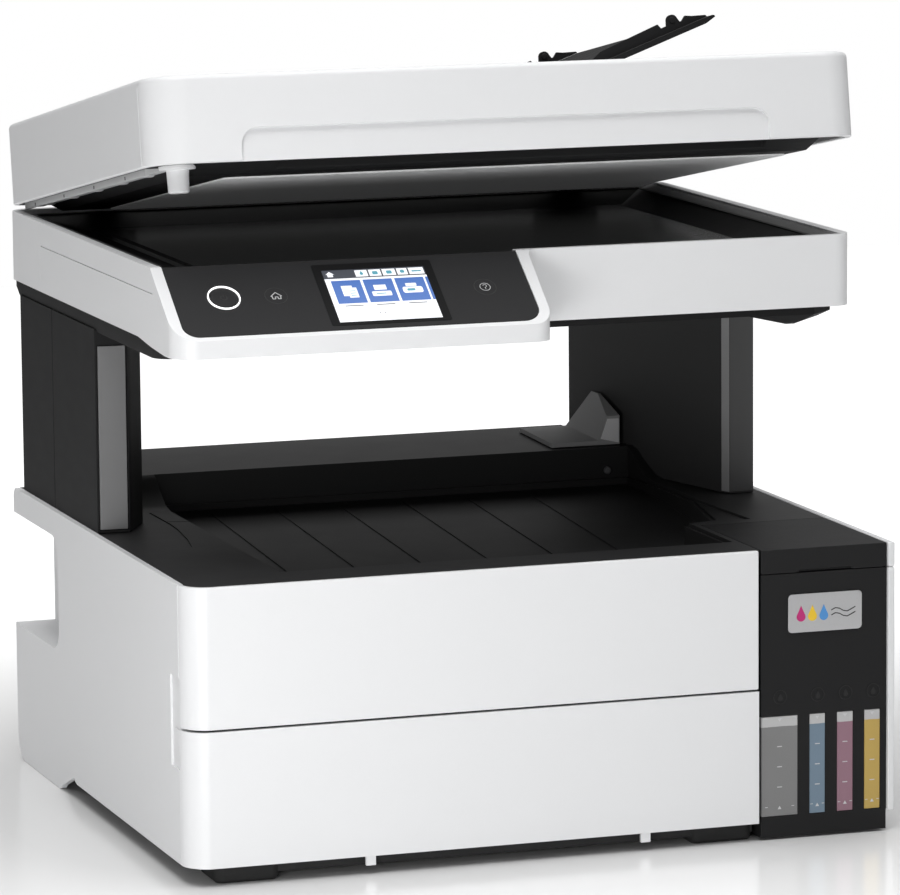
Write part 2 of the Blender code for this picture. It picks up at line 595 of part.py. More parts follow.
def build_feeder(lid, cover, tray, guides):
    floor = part("feeder_tray", box((FEEDER_LEFT + GAP, FEEDER_FRONT + GAP, FEEDER_FLOOR - 0.003),
                                    (FEEDER_RIGHT - GAP, FEEDER_REAR - GAP, LID_TOP - GAP)),
                 "charcoal_shell", lid)
    cut(floor, box((FEEDER_LEFT + 0.002, FEEDER_FRONT + 0.002, FEEDER_FLOOR),
                   (FEEDER_RIGHT - 0.002, FEEDER_REAR - 0.002, 0.4)))
    part("feeder_roller", rod("y", (0.118, 0.3362), 0.0056, 0.170, 0.240), "rubber", lid,
         (0.118, FEEDER_MIDDLE, 0.3362))

    high = LID_TOP
    inside = high - COVER_THICKNESS
    left = COVER_HINGE[0] - COVER_CURL
    lead = arc(COVER_HINGE, COVER_CURL, 90, 180)
    lead += [(left, FEEDER_FLOOR + 2 * WALL), (left + WALL, FEEDER_FLOOR + 2 * WALL), (left + WALL, inside),
             (COVER_END - WALL, inside), (COVER_END - WALL, high - COVER_LIP), (COVER_END, high - COVER_LIP),
             (COVER_END, high)]
    part("feeder_cover", prism(lead, "y", FEEDER_FRONT + 0.0023, FEEDER_REAR - 0.0023), "white_shell",
         cover)

    hinge_x, hinge_z = tray.home.x, tray.home.z
    leaf = part("input_tray", box((hinge_x, FEEDER_FRONT + 0.0025, hinge_z - 0.0012),
                                  (hinge_x + TRAY_LENGTH, FEEDER_REAR - 0.0025, hinge_z + 0.0016)),
                "charcoal_shell", tray)
    fuse(leaf, rod("y", (hinge_x, hinge_z), 0.0016, FEEDER_FRONT + 0.0025, FEEDER_REAR - 0.0025, 16))
    top = hinge_z + 0.0016 + GAP
    for name, front in (("input_guide_front", 0.1035), ("input_guide_rear", 0.304)):
        outline = [(hinge_x + 0.008, top), (hinge_x + 0.070, top), (hinge_x + 0.063, top + 0.0078),
                   (hinge_x + 0.016, top + 0.0078), (hinge_x + 0.008, top + 0.004)]
        part(name, prism(outline, "y", front, front + 0.0022), "charcoal_shell", guides[name])


# ---- paper cassette ----------------------------------------------------------------------
def build_cassette(cassette, guides):
    part("cassette_front", prism([(u, v - GAP * (v > 0.013)) for u, v in front_outline()], "z",
                                 BODY_BOTTOM, FRONT_SPLIT), "white_shell", cassette)
    drawer = part("cassette_tray", box((CASSETTE_LEFT, WALL + GAP, CASSETTE_LOW),
                                       (CASSETTE_RIGHT, CASSETTE_REAR, CASSETTE_TOP)), "charcoal_shell",
                  cassette)
    floor = CASSETTE_LOW + 0.0022
    cut(drawer, box((CASSETTE_LEFT + 0.0022, WALL + 0.0025, floor),
                    (CASSETTE_RIGHT - 0.0022, CASSETTE_REAR - 0.0022, 0.1)))
    for name, wall_x, foot_x in (("cassette_guide_left", 0.0430, 0.0455),
                                 ("cassette_guide_right", 0.2590, 0.2295)):
        rail = part(name, box((wall_x, 0.110, floor + GAP), (wall_x + 0.0022, 0.210, floor + 0.032)),
                    "grey_plastic", guides[name])
        fuse(rail, box((min(foot_x, wall_x), 0.130, floor + GAP),
                       (max(foot_x + 0.026, wall_x + 0.002), 0.190, floor + 0.0025)))
    stop = part("cassette_end_guide", box((0.130, 0.290, floor + GAP), (0.172, 0.2925, floor + 0.030)),
                "grey_plastic", guides["cassette_end_guide"])
    fuse(stop, box((0.135, 0.262, floor + GAP), (0.167, 0.292, floor + 0.0025)))


# ---- print engine ------------------------------------------------------------------------
def gear_outline(centre, teeth, root, tip):
    points = []
    for tooth in range(teeth):
        start = 2 * math.pi * tooth / teeth
        pitch = 2 * math.pi / teeth
        for share, radius in ((0.0, root), (0.3, root), (0.42, tip), (0.78, tip)):
            angle = start + pitch * share
            points.append((centre[0] + radius * math.cos(angle), centre[1] + radius * math.sin(angle)))
    return points


def build_engine(base, carriage, roller, pickup):
    part("guide_rail", rod("x", (RAIL_Y, RAIL_Z), 0.004, 0.034, 0.300), "steel", base)
    head = part("print_carriage", box((0.236, 0.230, 0.104), (0.292, 0.282, 0.136), 0.001),
                "charcoal_shell", carriage)
    cut(head, rod("x", (RAIL_Y, RAIL_Z), 0.0046, 0.2, 0.3))
    centre = (ROLLER_Y, ROLLER_Z)
    part("feed_roller", rod("x", centre, 0.006, 0.030, 0.296), "rubber", roller)
    part("drive_gear", prism(gear_outline(centre, 24, 0.0125, 0.0145), "x", 0.022, 0.0295), "grey_plastic",
         roller)
    part("pickup_roller", rod("x", (0.268, 0.072), 0.009, 0.140, 0.166), "rubber", pickup)
    part("main_board", box((0.0075, 0.045, 0.086), (0.0091, 0.225, 0.138)), "circuit_board", base)
    loop = rounded(0.040, 0.112, 0.298, 0.124, (0.0058,) * 4, 6)
    belt = part("carriage_belt", prism(loop, "y", 0.288, 0.293), "rubber", base)
    cut(belt, prism(rounded(0.0416, 0.1136, 0.2964, 0.1224, (0.0043,) * 4, 6), "y", 0.28, 0.30))


def main():
    clear_scene()
    base = Frame("printer", (0, 0, 0))
    base.empty.location = (-WIDTH / 2, -DEPTH / 2, 0)

    lid = Frame("lid_hinge", LID_HINGE, base, (-LID_TILT, 0, 0))
    cover = Frame("feeder_cover_hinge", (COVER_HINGE[0], FEEDER_MIDDLE, COVER_HINGE[1]), lid)
    tray = Frame("input_tray_hinge", (TRAY_HINGE_X, FEEDER_MIDDLE, LID_TOP - 0.0018), lid,
                 (0, -TRAY_TILT, 0))
    guides = {"input_guide_front": tray, "input_guide_rear": tray}
    cassette = Frame("cassette_slide", (CASSETTE_LEFT, 0, CASSETTE_LOW), base)
    for name, x in (("cassette_guide_left", 0.043), ("cassette_guide_right", 0.2612),
                    ("cassette_end_guide", 0.151)):
        guides[name] = Frame(name + "_slide", (x, 0.160, CASSETTE_LOW), cassette)
    rear_cover = Frame("rear_cover_slide", (0.180, BODY_REAR, 0.08), base)
    ink_pad = Frame("maintenance_box_slide", (0.336, BODY_REAR, 0.039), base)
    tank_cover = Frame("tank_cover_hinge", (TANK_LEFT, TANK_REAR, DECK_TOP), base)
    caps = {}
    for colour, (left, right, _, _) in TANKS.items():
        middle = (left + right) / 2
        caps[colour] = Frame("tank_cap_hinge_" + colour, (middle, CAP_Y + 0.012, TANK_TOP + 0.008), base)
    scan_bar = Frame("scan_bar_slide", (0.069, 0.2, 0.281), base)
    carriage = Frame("carriage_slide", (0.264, RAIL_Y, RAIL_Z), base)
    roller = Frame("feed_roller_axis", (0.030, ROLLER_Y, ROLLER_Z), base)
    pickup = Frame("pickup_roller_axis", (0.153, 0.268, 0.072), base)
    # Parts on the sloped panel are drawn on the slope itself: x, distance up it, height over it.
    panel = Frame("control_panel_slope", (0, 0, 0), None, (PANEL_ANGLE, 0, 0))
    panel.empty.parent = base.empty
    panel.empty.location = PANEL_HOME
    power = Frame("power_button_slide", (*POWER, 0), panel)

    build_base_pan(base)
    build_left_side(base)
    build_right_side(base)
    build_front(base)
    build_deck(base)
    build_columns(base)
    build_paper_guide(base)
    build_rear(base, rear_cover, ink_pad)
    build_tanks(base, caps)
    build_tank_cover(tank_cover)
    build_scanner(base)
    build_bed(base, scan_bar)
    build_control_panel(panel, power)
    build_hinges(lid)
    build_lid(lid)
    build_feeder(lid, cover, tray, guides)
    build_cassette(cassette, guides)
    build_engine(base, carriage, roller, pickup)


main()
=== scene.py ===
"""Looks of the ink-tank multifunction printer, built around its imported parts.

Pieces are drawn in the maker's corner frame, in metres: x from the left side, y from the front
face, z from the floor.  A drawing is a matrix that sets such a piece down in the row frame:
BASE for fixed pieces, LID for the tilted lid, TRAY for the raised feeder tray and SLOPE for
the control panel, whose pieces lie on its sloped plane.
"""
import json
import math

import bmesh
import bpy
from mathutils import Matrix, Vector


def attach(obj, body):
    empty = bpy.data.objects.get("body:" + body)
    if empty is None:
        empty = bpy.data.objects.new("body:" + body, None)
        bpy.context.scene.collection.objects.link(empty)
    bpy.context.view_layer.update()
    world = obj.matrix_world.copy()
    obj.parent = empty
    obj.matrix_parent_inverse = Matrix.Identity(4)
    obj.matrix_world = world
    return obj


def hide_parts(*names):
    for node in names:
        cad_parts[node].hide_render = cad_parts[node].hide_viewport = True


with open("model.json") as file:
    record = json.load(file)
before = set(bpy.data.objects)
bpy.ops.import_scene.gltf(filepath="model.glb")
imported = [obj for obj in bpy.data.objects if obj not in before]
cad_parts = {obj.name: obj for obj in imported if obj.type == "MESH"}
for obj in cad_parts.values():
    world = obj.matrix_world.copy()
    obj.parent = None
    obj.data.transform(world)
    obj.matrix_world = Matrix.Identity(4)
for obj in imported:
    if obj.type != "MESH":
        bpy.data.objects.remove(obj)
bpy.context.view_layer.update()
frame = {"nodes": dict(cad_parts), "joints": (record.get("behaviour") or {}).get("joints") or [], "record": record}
JOINTS = {joint["name"]: joint for joint in frame["joints"]}

# ---- sizes shared by several pieces ----
WIDTH = 0.375
DEPTH = 0.347
GAP = 0.0003
DECK_TOP = 0.1495
CORNER = Vector((-WIDTH / 2, -DEPTH / 2, 0))
LID_TILT = math.radians(9.7)
TRAY_TILT = math.radians(20)
PANEL_TILT = math.radians(35.6)
PANEL_HOME = Vector((0, 0.0229, 0.279))
LID_HINGE = Vector(JOINTS["lid_lift"]["pos_m"]) - CORNER
TRAY_HINGE = Vector((0.250, 0.205, 0.3441))


def about(point, turn):
    """Turn about a point of the drawing."""
    return Matrix.Translation(point) @ turn @ Matrix.Translation(-Vector(point))


BASE = Matrix.Translation(CORNER)
LID = BASE @ about(LID_HINGE, Matrix.Rotation(-LID_TILT, 4, "X"))
TRAY = LID @ about(TRAY_HINGE, Matrix.Rotation(-TRAY_TILT, 4, "Y"))
SLOPE = BASE @ Matrix.Translation(PANEL_HOME) @ Matrix.Rotation(PANEL_TILT, 4, "X")


# ---- drawing tools ----
def arc(centre, radius, start, end, steps=12):
    """Points on a circle between two angles in degrees."""
    angles = [math.radians(start + (end - start) * step / steps) for step in range(steps + 1)]
    return [(centre[0] + radius * math.cos(a), centre[1] + radius * math.sin(a)) for a in angles]


def circle(centre, radius, sides):
    return arc(centre, radius, 0, 360 - 360 / sides, sides - 1)


def rounded(left, low, right, high, radii, steps=10):
    """A rectangle whose corners (low-left, low-right, high-right, high-left) are rounded."""
    corners = ((left, low, 1, 1, 180), (right, low, -1, 1, 270),
               (right, high, -1, -1, 0), (left, high, 1, -1, 90))
    points = []
    for (u, v, du, dv, start), radius in zip(corners, radii):
        if radius:
            points += arc((u + du * radius, v + dv * radius), radius, start, start + 90, steps)
        else:
            points.append((u, v))
    return points


AXES = {"x": lambda u, v, w: (w, u, v),
        "y": lambda u, v, w: (u, w, v),
        "z": lambda u, v, w: (u, v, w)}


def skin(rows):
    """Join rows of points into a closed shape: walls between neighbours and a face at each end."""
    shape = bmesh.new()
    rings = [[shape.verts.new(point) for point in points] for points in rows]
    for first, second in zip(rings, rings[1:]):
        for index in range(len(first)):
            after = (index + 1) % len(first)
            shape.faces.new((first[index], first[after], second[after], second[index]))
    shape.faces.new(rings[0])
    shape.faces.new(rings[-1])
    bmesh.ops.recalc_face_normals(shape, faces=shape.faces)
    return shape


def prism(outline, axis, low, high):
    """Extrude an outline along an axis; its points are the two other coordinates in order."""
    return skin([[AXES[axis](u, v, w) for u, v in outline] for w in (low, high)])


def box(low, high):
    return prism([(low[0], low[1]), (high[0], low[1]), (high[0], high[1]), (low[0], high[1])], "z",
                 low[2], high[2])


def rod(axis, centre, radius, low, high, sides=48):
    return prism(circle(centre, radius, sides), axis, low, high)


def lathe(axis, centre, profile, sides=48):
    """A turned piece; its profile runs (radius, place along the axis) from end to end."""
    return skin([[AXES[axis](u, v, along) for u, v in circle(centre, radius, sides)]
                 for radius, along in profile])


def loft(outlines):
    """Skin upright through horizontal outlines with as many points each: (points, height)."""
    return skin([[(u, v, height) for u, v in points] for points, height in outlines])


def moved(shape, matrix):
    bmesh.ops.transform(shape, matrix=matrix, verts=shape.verts)
    return shape


def link(name, shape):
    data = bpy.data.meshes.new(name)
    shape.to_mesh(data)
    shape.free()
    made = bpy.data.objects.new(name, data)
    bpy.context.collection.objects.link(made)
    return made


def settle(made):
    """Turn an object's live modifiers into its plain mesh."""
    depsgraph = bpy.context.evaluated_depsgraph_get()
    plain = bpy.data.meshes.new_from_object(made.evaluated_get(depsgraph),
                                            preserve_all_data_layers=True, depsgraph=depsgraph)
    made.modifiers.clear()
    made.data = plain
    return made


SHARP_ANGLE = math.radians(40)


def piece(name, shape, body, finish, draw=BASE, instead_of=(), edge=0.0, rounds=3, cuts=(), adds=(),
          keeps=(), turn_limit=28):
    """Make one visible piece: join, keep, cut and round its drawing, then dress it."""
    made = link(name, shape)
    tools = []
    for operation, shapes in (("UNION", adds), ("INTERSECT", keeps), ("DIFFERENCE", cuts)):
        for tool_shape in shapes:
            tool = link(name + "_tool", tool_shape)
            tools.append(tool)
            step = made.modifiers.new(operation, "BOOLEAN")
            step.operation = operation
            step.object = tool
            step.solver = "EXACT"
    if edge:
        bevel = made.modifiers.new("edges", "BEVEL")
        bevel.width = edge
        bevel.segments = rounds
        bevel.limit_method = "ANGLE"
        bevel.angle_limit = math.radians(turn_limit)
        bevel.miter_outer = "MITER_ARC"
    made.data.shade_smooth()
    settle(made)
    for tool in tools:
        bpy.data.objects.remove(tool)
    made.data.shade_smooth()
    made.data.set_sharp_from_angle(angle=SHARP_ANGLE)
    weigh = made.modifiers.new("flat_faces", "WEIGHTED_NORMAL")
    weigh.keep_sharp = True
    settle(made)
    made.data.transform(draw)
    return dress(made, body, finish, instead_of)


def dress(made, body, finish, instead_of=()):
    """Give a piece its finish, its body and the CAD nodes it stands for."""
    made.data.materials.clear()
    made.data.materials.append(FINISH[finish])
    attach(made, body)
    if instead_of:
        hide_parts(*instead_of)
    return made


# ---- shader tools ----
class Wire:
    """A socket in a shader tree that can be added, multiplied and compared like a number."""

    def __init__(self, tree, socket=None):
        self.tree = tree
        self.socket = socket

    def node(self, kind, settings=None, inputs=None, out=0):
        """Add any node: its settings are set first, then its sockets get values or links."""
        made = self.tree.nodes.new(kind)
        for key, value in (settings or {}).items():
            if key == "stops":
                ramp = made.color_ramp
                while len(ramp.elements) < len(value):
                    ramp.elements.new(0.5)
                for element, (place, colour) in zip(ramp.elements, value):
                    element.position = place
                    element.color = colour
            else:
                setattr(made, key, value)
        for key, value in (inputs or {}).items():
            if isinstance(value, Wire):
                self.tree.links.new(value.socket, made.inputs[key])
            else:
                made.inputs[key].default_value = value
        return Wire(self.tree, made.outputs[out])

    def blend(self, first, second):
        """Mix two colours, or two wires that carry colours, by this value."""
        ends = [end if isinstance(end, Wire) else colour4(end) for end in (first, second)]
        return self.node("ShaderNodeMix", {"data_type": "RGBA"},
                         {"Factor": self, 6: ends[0], 7: ends[1]}, out=2)

    def feed(self, shader, name):
        self.tree.links.new(self.socket, shader.inputs[name])

    def maths(self, operation, *values):
        return self.node("ShaderNodeMath", {"operation": operation}, dict(enumerate(values)))

    def __add__(self, other):
        return self.maths("ADD", self, other)

    def __radd__(self, other):
        return self.maths("ADD", other, self)

    def __mul__(self, other):
        return self.maths("MULTIPLY", self, other)

    def __rmul__(self, other):
        return self.maths("MULTIPLY", other, self)

    def __gt__(self, other):
        return self.maths("GREATER_THAN", self, other)


def new_material(name):
    """A material with its bare shader: returns the material, a starting wire and the shader."""
    made = bpy.data.materials.new(name)
    made.use_nodes = True
    return made, Wire(made.node_tree), made.node_tree.nodes["Principled BSDF"]


def colour4(rgb):
    return (*rgb, 1.0)


def noise(start, place, scale, detail=3.0, stretch=None):
    """Soft random values from 0 to 1; scale is in features per metre."""
    if stretch:
        place = start.node("ShaderNodeMapping", None, {"Vector": place, "Scale": stretch})
    return start.node("ShaderNodeTexNoise", None,
                      {"Vector": place, "Scale": scale, "Detail": detail})


GRAIN_DEPTH = 0.0001


def relief(start, height, strength, depth):
    return start.node("ShaderNodeBump", None,
                      {"Strength": strength, "Distance": depth, "Height": height})


def moulded(name, rgb, roughness, grain, grain_size, shift=0.03, smudge=0.06, shine=0.5):
    """Moulded plastic: slight clouding of colour, spark-eroded grain and handled, uneven gloss."""
    made, start, shader = new_material(name)
    place = start.node("ShaderNodeTexCoord", out="Object")
    cloud = noise(start, place, 14.0, 4.0)
    darker = tuple(max(channel * (1 - shift), 0.0) for channel in rgb)
    lighter = tuple(min(channel * (1 + shift), 1.0) for channel in rgb)
    cloud.blend(darker, lighter).feed(shader, "Base Color")
    wipe = noise(start, place, 55.0, 5.0, (1.0, 1.0, 2.5))
    (roughness - smudge / 2 + smudge * wipe).feed(shader, "Roughness")
    grains = noise(start, place, 1 / grain_size, 2.0)
    relief(start, grains, grain, GRAIN_DEPTH).feed(shader, "Normal")
    shader.inputs["Specular IOR Level"].default_value = shine
    return made


def polished(name, rgb, roughness, streak=0.05, shine=0.5):
    """Polished black plastic or glass front with faint wiping marks."""
    made, start, shader = new_material(name)
    shader.inputs["Base Color"].default_value = colour4(rgb)
    shader.inputs["Specular IOR Level"].default_value = shine
    place = start.node("ShaderNodeTexCoord", out="Object")
    wipe = noise(start, place, 30.0, 6.0, (1.0, 3.0, 1.0))
    specks = noise(start, place, 900.0, 1.0)
    dust = start.node("ShaderNodeValToRGB", {"stops": [(0.62, (0, 0, 0, 1)), (0.8, (1, 1, 1, 1))]},
                      {"Fac": specks})
    (roughness + streak * wipe + dust * 0.08).feed(shader, "Roughness")
    wave = noise(start, place, 12.0, 1.0)
    relief(start, wave, 0.04, 0.001).feed(shader, "Normal")
    return made


def brushed(name, rgb, roughness, stretch):
    """Drawn metal with fine lines along one direction."""
    made, start, shader = new_material(name)
    shader.inputs["Metallic"].default_value = 1.0
    place = start.node("ShaderNodeTexCoord", out="Object")
    lines = noise(start, place, 400.0, 3.0, stretch)
    lines.blend([channel * 0.85 for channel in rgb], rgb).feed(shader, "Base Color")
    (roughness + 0.12 * lines).feed(shader, "Roughness")
    relief(start, lines, 0.15, GRAIN_DEPTH).feed(shader, "Normal")
    return made


def lit(name, rgb, glow, roughness=0.35, body=0.6):
    """A surface that gives off a little light: a lamp window, the display, or the mat, whose faint glow is painted
    light.
    """
    made, start, shader = new_material(name)
    shader.inputs["Base Color"].default_value = colour4([channel * body for channel in rgb])
    shader.inputs["Roughness"].default_value = roughness
    shader.inputs["Emission Strength"].default_value = glow
    place = start.node("ShaderNodeTexCoord", out="Object")
    cells = start.node("ShaderNodeTexVoronoi", None, {"Vector": place, "Scale": 2600.0})
    cells.blend(rgb, [channel * 0.92 for channel in rgb]).feed(shader, "Emission Color")
    return made


EMPTY_TANK = (0.50, 0.50, 0.50)


def ink_tank(name, ink, fill_height):
    """Translucent tank wall over ink: clouded where it is full, pale above the ink's surface."""
    made, start, shader = new_material(name)
    place = start.node("ShaderNodeTexCoord", out="Object")
    height = start.node("ShaderNodeSeparateXYZ", None, {"Vector": place}, out="Z")
    ripple = noise(start, place, 160.0, 2.0)
    empty = (height + ripple * 0.0006) > fill_height
    cloud = noise(start, place, 40.0, 3.0)
    wet = cloud.blend([channel * 0.86 for channel in ink], ink)
    empty.blend(wet, EMPTY_TANK).feed(shader, "Base Color")
    (0.28 + 0.14 * cloud).feed(shader, "Roughness")
    return made


INK_LEVEL = 0.0587
FINISH = {
    "white": moulded("white_shell", (0.80, 0.805, 0.815), 0.36, 0.05, 0.0004, 0.008),
    "white_inner": moulded("white_inner_plastic", (0.62, 0.625, 0.63), 0.5, 0.08, 0.0004, 0.02),
    "charcoal": moulded("charcoal_shell", (0.019, 0.019, 0.0195), 0.5, 0.22, 0.0005, 0.10,
                        shine=0.3),
    "charcoal_fine": moulded("charcoal_satin", (0.016, 0.016, 0.0165), 0.6, 0.12, 0.0004, 0.08,
                             shine=0.12),
    # Painted sheen: a lighter copy of the dark post plastic, for light caught on the left post's flat front face.
    "painted_sheen_slate": moulded("painted_sheen_slate_panel", (0.20, 0.20, 0.202), 0.5, 0.12, 0.0004, 0.05, shine=0.4),
    # On the right post's chamfer this pale grey is a painted highlight.
    "fog": moulded("fog_grey_plastic", (0.36, 0.36, 0.363), 0.6, 0.12, 0.0004, 0.05, shine=0.2),
    "coal": moulded("coal_grey_panel", (0.052, 0.052, 0.0525), 0.6, 0.12, 0.0004, 0.05, shine=0.15),
    # Painted light: a lighter copy of the paper guide's grey, for light falling on its front face.
    "pearl": moulded("pearl_grey_painted_light", (0.80, 0.80, 0.805), 0.6, 0.10, 0.0004, 0.04, shine=0.2),
    "ash": moulded("ash_grey_plastic", (0.55, 0.555, 0.56), 0.5, 0.08, 0.0004, 0.03, shine=0.3),
    # On the right post's front face this grey is painted light, a lighter copy of the post's coal grey.
    "iron": moulded("iron_grey_panel", (0.085, 0.085, 0.086), 0.5, 0.12, 0.0004, 0.05, shine=0.3),
    "grey": moulded("grey_plastic", (0.13, 0.13, 0.135), 0.5, 0.15, 0.0005, 0.06),
    # Painted light: the mat's faint glow brightens it on the shaded underside of the lid; the mat is no lamp.
    "mat": lit("mat_film_painted_glow", (0.92, 0.925, 0.93), 0.028, 0.62, 1.0),
    "rubber": moulded("rubber", (0.012, 0.012, 0.012), 0.82, 0.4, 0.0006, 0.12),
    "gloss_black": polished("gloss_black", (0.007, 0.007, 0.0075), 0.50, shine=0.10),
    "satin_black": polished("satin_black", (0.016, 0.016, 0.0165), 0.45, shine=0.15),
    "glass": polished("scan_glass", (0.006, 0.007, 0.007), 0.22, 0.02, shine=0.2),
    "steel": brushed("ground_steel", (0.62, 0.63, 0.65), 0.22, (1.0, 30.0, 30.0)),
    "badge": brushed("badge_foil", (0.72, 0.72, 0.73), 0.24, (40.0, 1.0, 1.0)),
    "board": moulded("circuit_board", (0.01, 0.10, 0.035), 0.35, 0.3, 0.0012, 0.3),
    "lamp": lit("white_lamp", (1.0, 1.0, 1.0), 1.2),
    "print_light": moulded("level_marks", (0.60, 0.60, 0.61), 0.4, 0.02, 0.0004, 0.02),
    "print_white": moulded("lit_marks", (0.55, 0.55, 0.56), 0.4, 0.02, 0.0004, 0.02),
    "panel_black": polished("panel_black", (0.026, 0.026, 0.027), 0.5, shine=0.1),
    "mark_magenta": moulded("magenta_print", (0.50, 0.02, 0.17), 0.35, 0.02, 0.0004, 0.04),
    "mark_yellow": moulded("yellow_print", (0.85, 0.56, 0.03), 0.35, 0.02, 0.0004, 0.04),
    "mark_blue": moulded("blue_print", (0.08, 0.28, 0.62), 0.35, 0.02, 0.0004, 0.04),
    "screen_teal": lit("screen_teal", (0.08, 0.30, 0.38), 0.8),
    "print_grey": moulded("printed_marks", (0.42, 0.42, 0.43), 0.4, 0.02, 0.0004, 0.02),
    "print_dark": moulded("embossed_marks", (0.008, 0.008, 0.008), 0.5, 0.02, 0.0004, 0.02),
    "screen_white": lit("screen_white", (0.90, 0.91, 0.94), 0.7),
    "screen_blue": lit("screen_blue", (0.055, 0.14, 0.42), 0.8),
    "screen_dark": lit("screen_dark", (0.05, 0.055, 0.07), 0.7),
    "ink_black": ink_tank("ink_black", (0.224, 0.224, 0.224), INK_LEVEL),
    "ink_cyan": ink_tank("ink_cyan", (0.177, 0.248, 0.319), INK_LEVEL),
    "ink_magenta": ink_tank("ink_magenta", (0.307, 0.171, 0.218), INK_LEVEL),
    "ink_yellow": ink_tank("ink_yellow", (0.550, 0.380, 0.100), INK_LEVEL),
}
FINISH_OF_SLOT = {"white_shell": "white", "charcoal_shell": "charcoal",
                  "black_gloss": "gloss_black", "grey_plastic": "grey", "mat_grey": "mat",
                  "rubber": "rubber", "glass": "glass",
                  "steel": "steel", "badge_metal": "badge", "circuit_board": "board",
                  "ink_black": "ink_black", "ink_cyan": "ink_cyan", "ink_magenta": "ink_magenta",
                  "ink_yellow": "ink_yellow"}


def finish_kept_nodes():
    """Give every CAD node that stays visible the finish of its own material slot."""
    for row in frame["record"]["subparts"]:
        node = frame["nodes"][row["node"]]
        node.data.materials.clear()
        node.data.materials.append(FINISH[FINISH_OF_SLOT[row["material_slot"]]])


# ---- shapes used more than once ----
def inset(left, low, right, high, radii, margin, steps=10):
    """A rounded rectangle drawn a margin further in."""
    return rounded(left + margin, low + margin, right - margin, high - margin,
                   [max(radius - margin, 0.0004) for radius in radii], steps)


def slab(left, low, right, high, radii, bottom, top, crown, sole=0.0006, steps=10):
    """An upright slab with a rounded crown along its top edge and a small one at its sole."""
    rings = [(inset(left, low, right, high, radii, sole, steps), bottom),
             (inset(left, low, right, high, radii, 0, steps), bottom + sole)]
    for step in range(CROWN_STEPS + 1):
        angle = math.radians(90 * step / CROWN_STEPS)
        rings.append((inset(left, low, right, high, radii, crown * (1 - math.cos(angle)), steps),
                      top - crown * (1 - math.sin(angle))))
    return loft(rings)


def ribbon(path, width):
    """Outline of a narrow strip that follows a path."""
    left, right = [], []
    for index, (u, v) in enumerate(path):
        before = path[max(index - 1, 0)]
        after = path[min(index + 1, len(path) - 1)]
        du, dv = after[0] - before[0], after[1] - before[1]
        reach = math.hypot(du, dv) / (width / 2)
        left.append((u - dv / reach, v + du / reach))
        right.append((u + dv / reach, v - du / reach))
    return left + right[::-1]


def ring(centre, outer, inner, low, high, sides=64):
    """A flat upright washer."""
    shape = bmesh.new()
    loops = [[shape.verts.new((u, v, height)) for u, v in circle(centre, radius, sides)]
             for radius, height in ((outer, low), (outer, high), (inner, high), (inner, low))]
    for first, second in zip(loops, loops[1:] + loops[:1]):
        for side in range(sides):
            after = (side + 1) % sides
            shape.faces.new((first[side], first[after], second[after], second[side]))
    bmesh.ops.recalc_face_normals(shape, faces=shape.faces)
    return shape


def drop(centre, radius, tip):
    """Outline of an ink drop: a round belly under a pointed tip."""
    u, v = centre
    belly = arc((u, v), radius, 150, 390, 28)
    return belly + [(u + radius * 0.42, v + radius + tip * 0.3), (u, v + radius + tip),
                    (u - radius * 0.42, v + radius + tip * 0.3)]


def join_shapes(shapes):
    """Put several separate shapes into one drawing."""
    whole = bmesh.new()
    for shape in shapes:
        data = bpy.data.meshes.new("joined")
        shape.to_mesh(data)
        shape.free()
        whole.from_mesh(data)
        bpy.data.meshes.remove(data)
    return whole


def on_front(shape):
    """Stand a shape drawn flat (x, height, thickness) up against a front face."""
    return moved(shape, Matrix.Rotation(math.radians(90), 4, "X"))


def repeated(name, unit, count, start, step, body, finish, draw=BASE):
    """Repeat a small drawn unit in a row with geometry nodes, flattened into one mesh."""
    tree = bpy.data.node_groups.new(name + "_row", "GeometryNodeTree")
    face = tree.interface
    for way, label, kind in (("INPUT", "Geometry", "Geometry"), ("INPUT", "Unit", "Object"),
                             ("INPUT", "Count", "Int"), ("INPUT", "Start", "Vector"),
                             ("INPUT", "Step", "Vector"), ("INPUT", "Material", "Material"),
                             ("OUTPUT", "Geometry", "Geometry")):
        face.new_socket(label, in_out=way, socket_type="NodeSocket" + kind)
    start_in, finish_out = tree.nodes.new("NodeGroupInput"), tree.nodes.new("NodeGroupOutput")
    line, picked, placed, real, painted = [
        tree.nodes.new("GeometryNode" + kind)
        for kind in ("MeshLine", "ObjectInfo", "InstanceOnPoints", "RealizeInstances",
                     "SetMaterial")]
    line.mode = "OFFSET"
    for first, second in ((start_in.outputs["Count"], line.inputs["Count"]),
                          (start_in.outputs["Start"], line.inputs["Start Location"]),
                          (start_in.outputs["Step"], line.inputs["Offset"]),
                          (start_in.outputs["Unit"], picked.inputs["Object"]),
                          (line.outputs["Mesh"], placed.inputs["Points"]),
                          (picked.outputs["Geometry"], placed.inputs["Instance"]),
                          (placed.outputs["Instances"], real.inputs["Geometry"]),
                          (real.outputs["Geometry"], painted.inputs["Geometry"]),
                          (start_in.outputs["Material"], painted.inputs["Material"]),
                          (painted.outputs["Geometry"], finish_out.inputs["Geometry"])):
        tree.links.new(first, second)
    unit_object = link(name + "_unit", unit)
    made = link(name, bmesh.new())
    step_modifier = made.modifiers.new("row", "NODES")
    step_modifier.node_group = tree
    values = {"Unit": unit_object, "Count": count, "Start": start, "Step": step,
              "Material": FINISH[finish]}
    for item in face.items_tree:
        if item.in_out == "INPUT" and item.name in values:
            step_modifier[item.identifier] = values[item.name]
    settle(made)
    bpy.data.objects.remove(unit_object)
    made.data.shade_smooth()
    made.data.set_sharp_from_angle(angle=SHARP_ANGLE)
    made.data.transform(draw)
    return dress(made, body, finish)


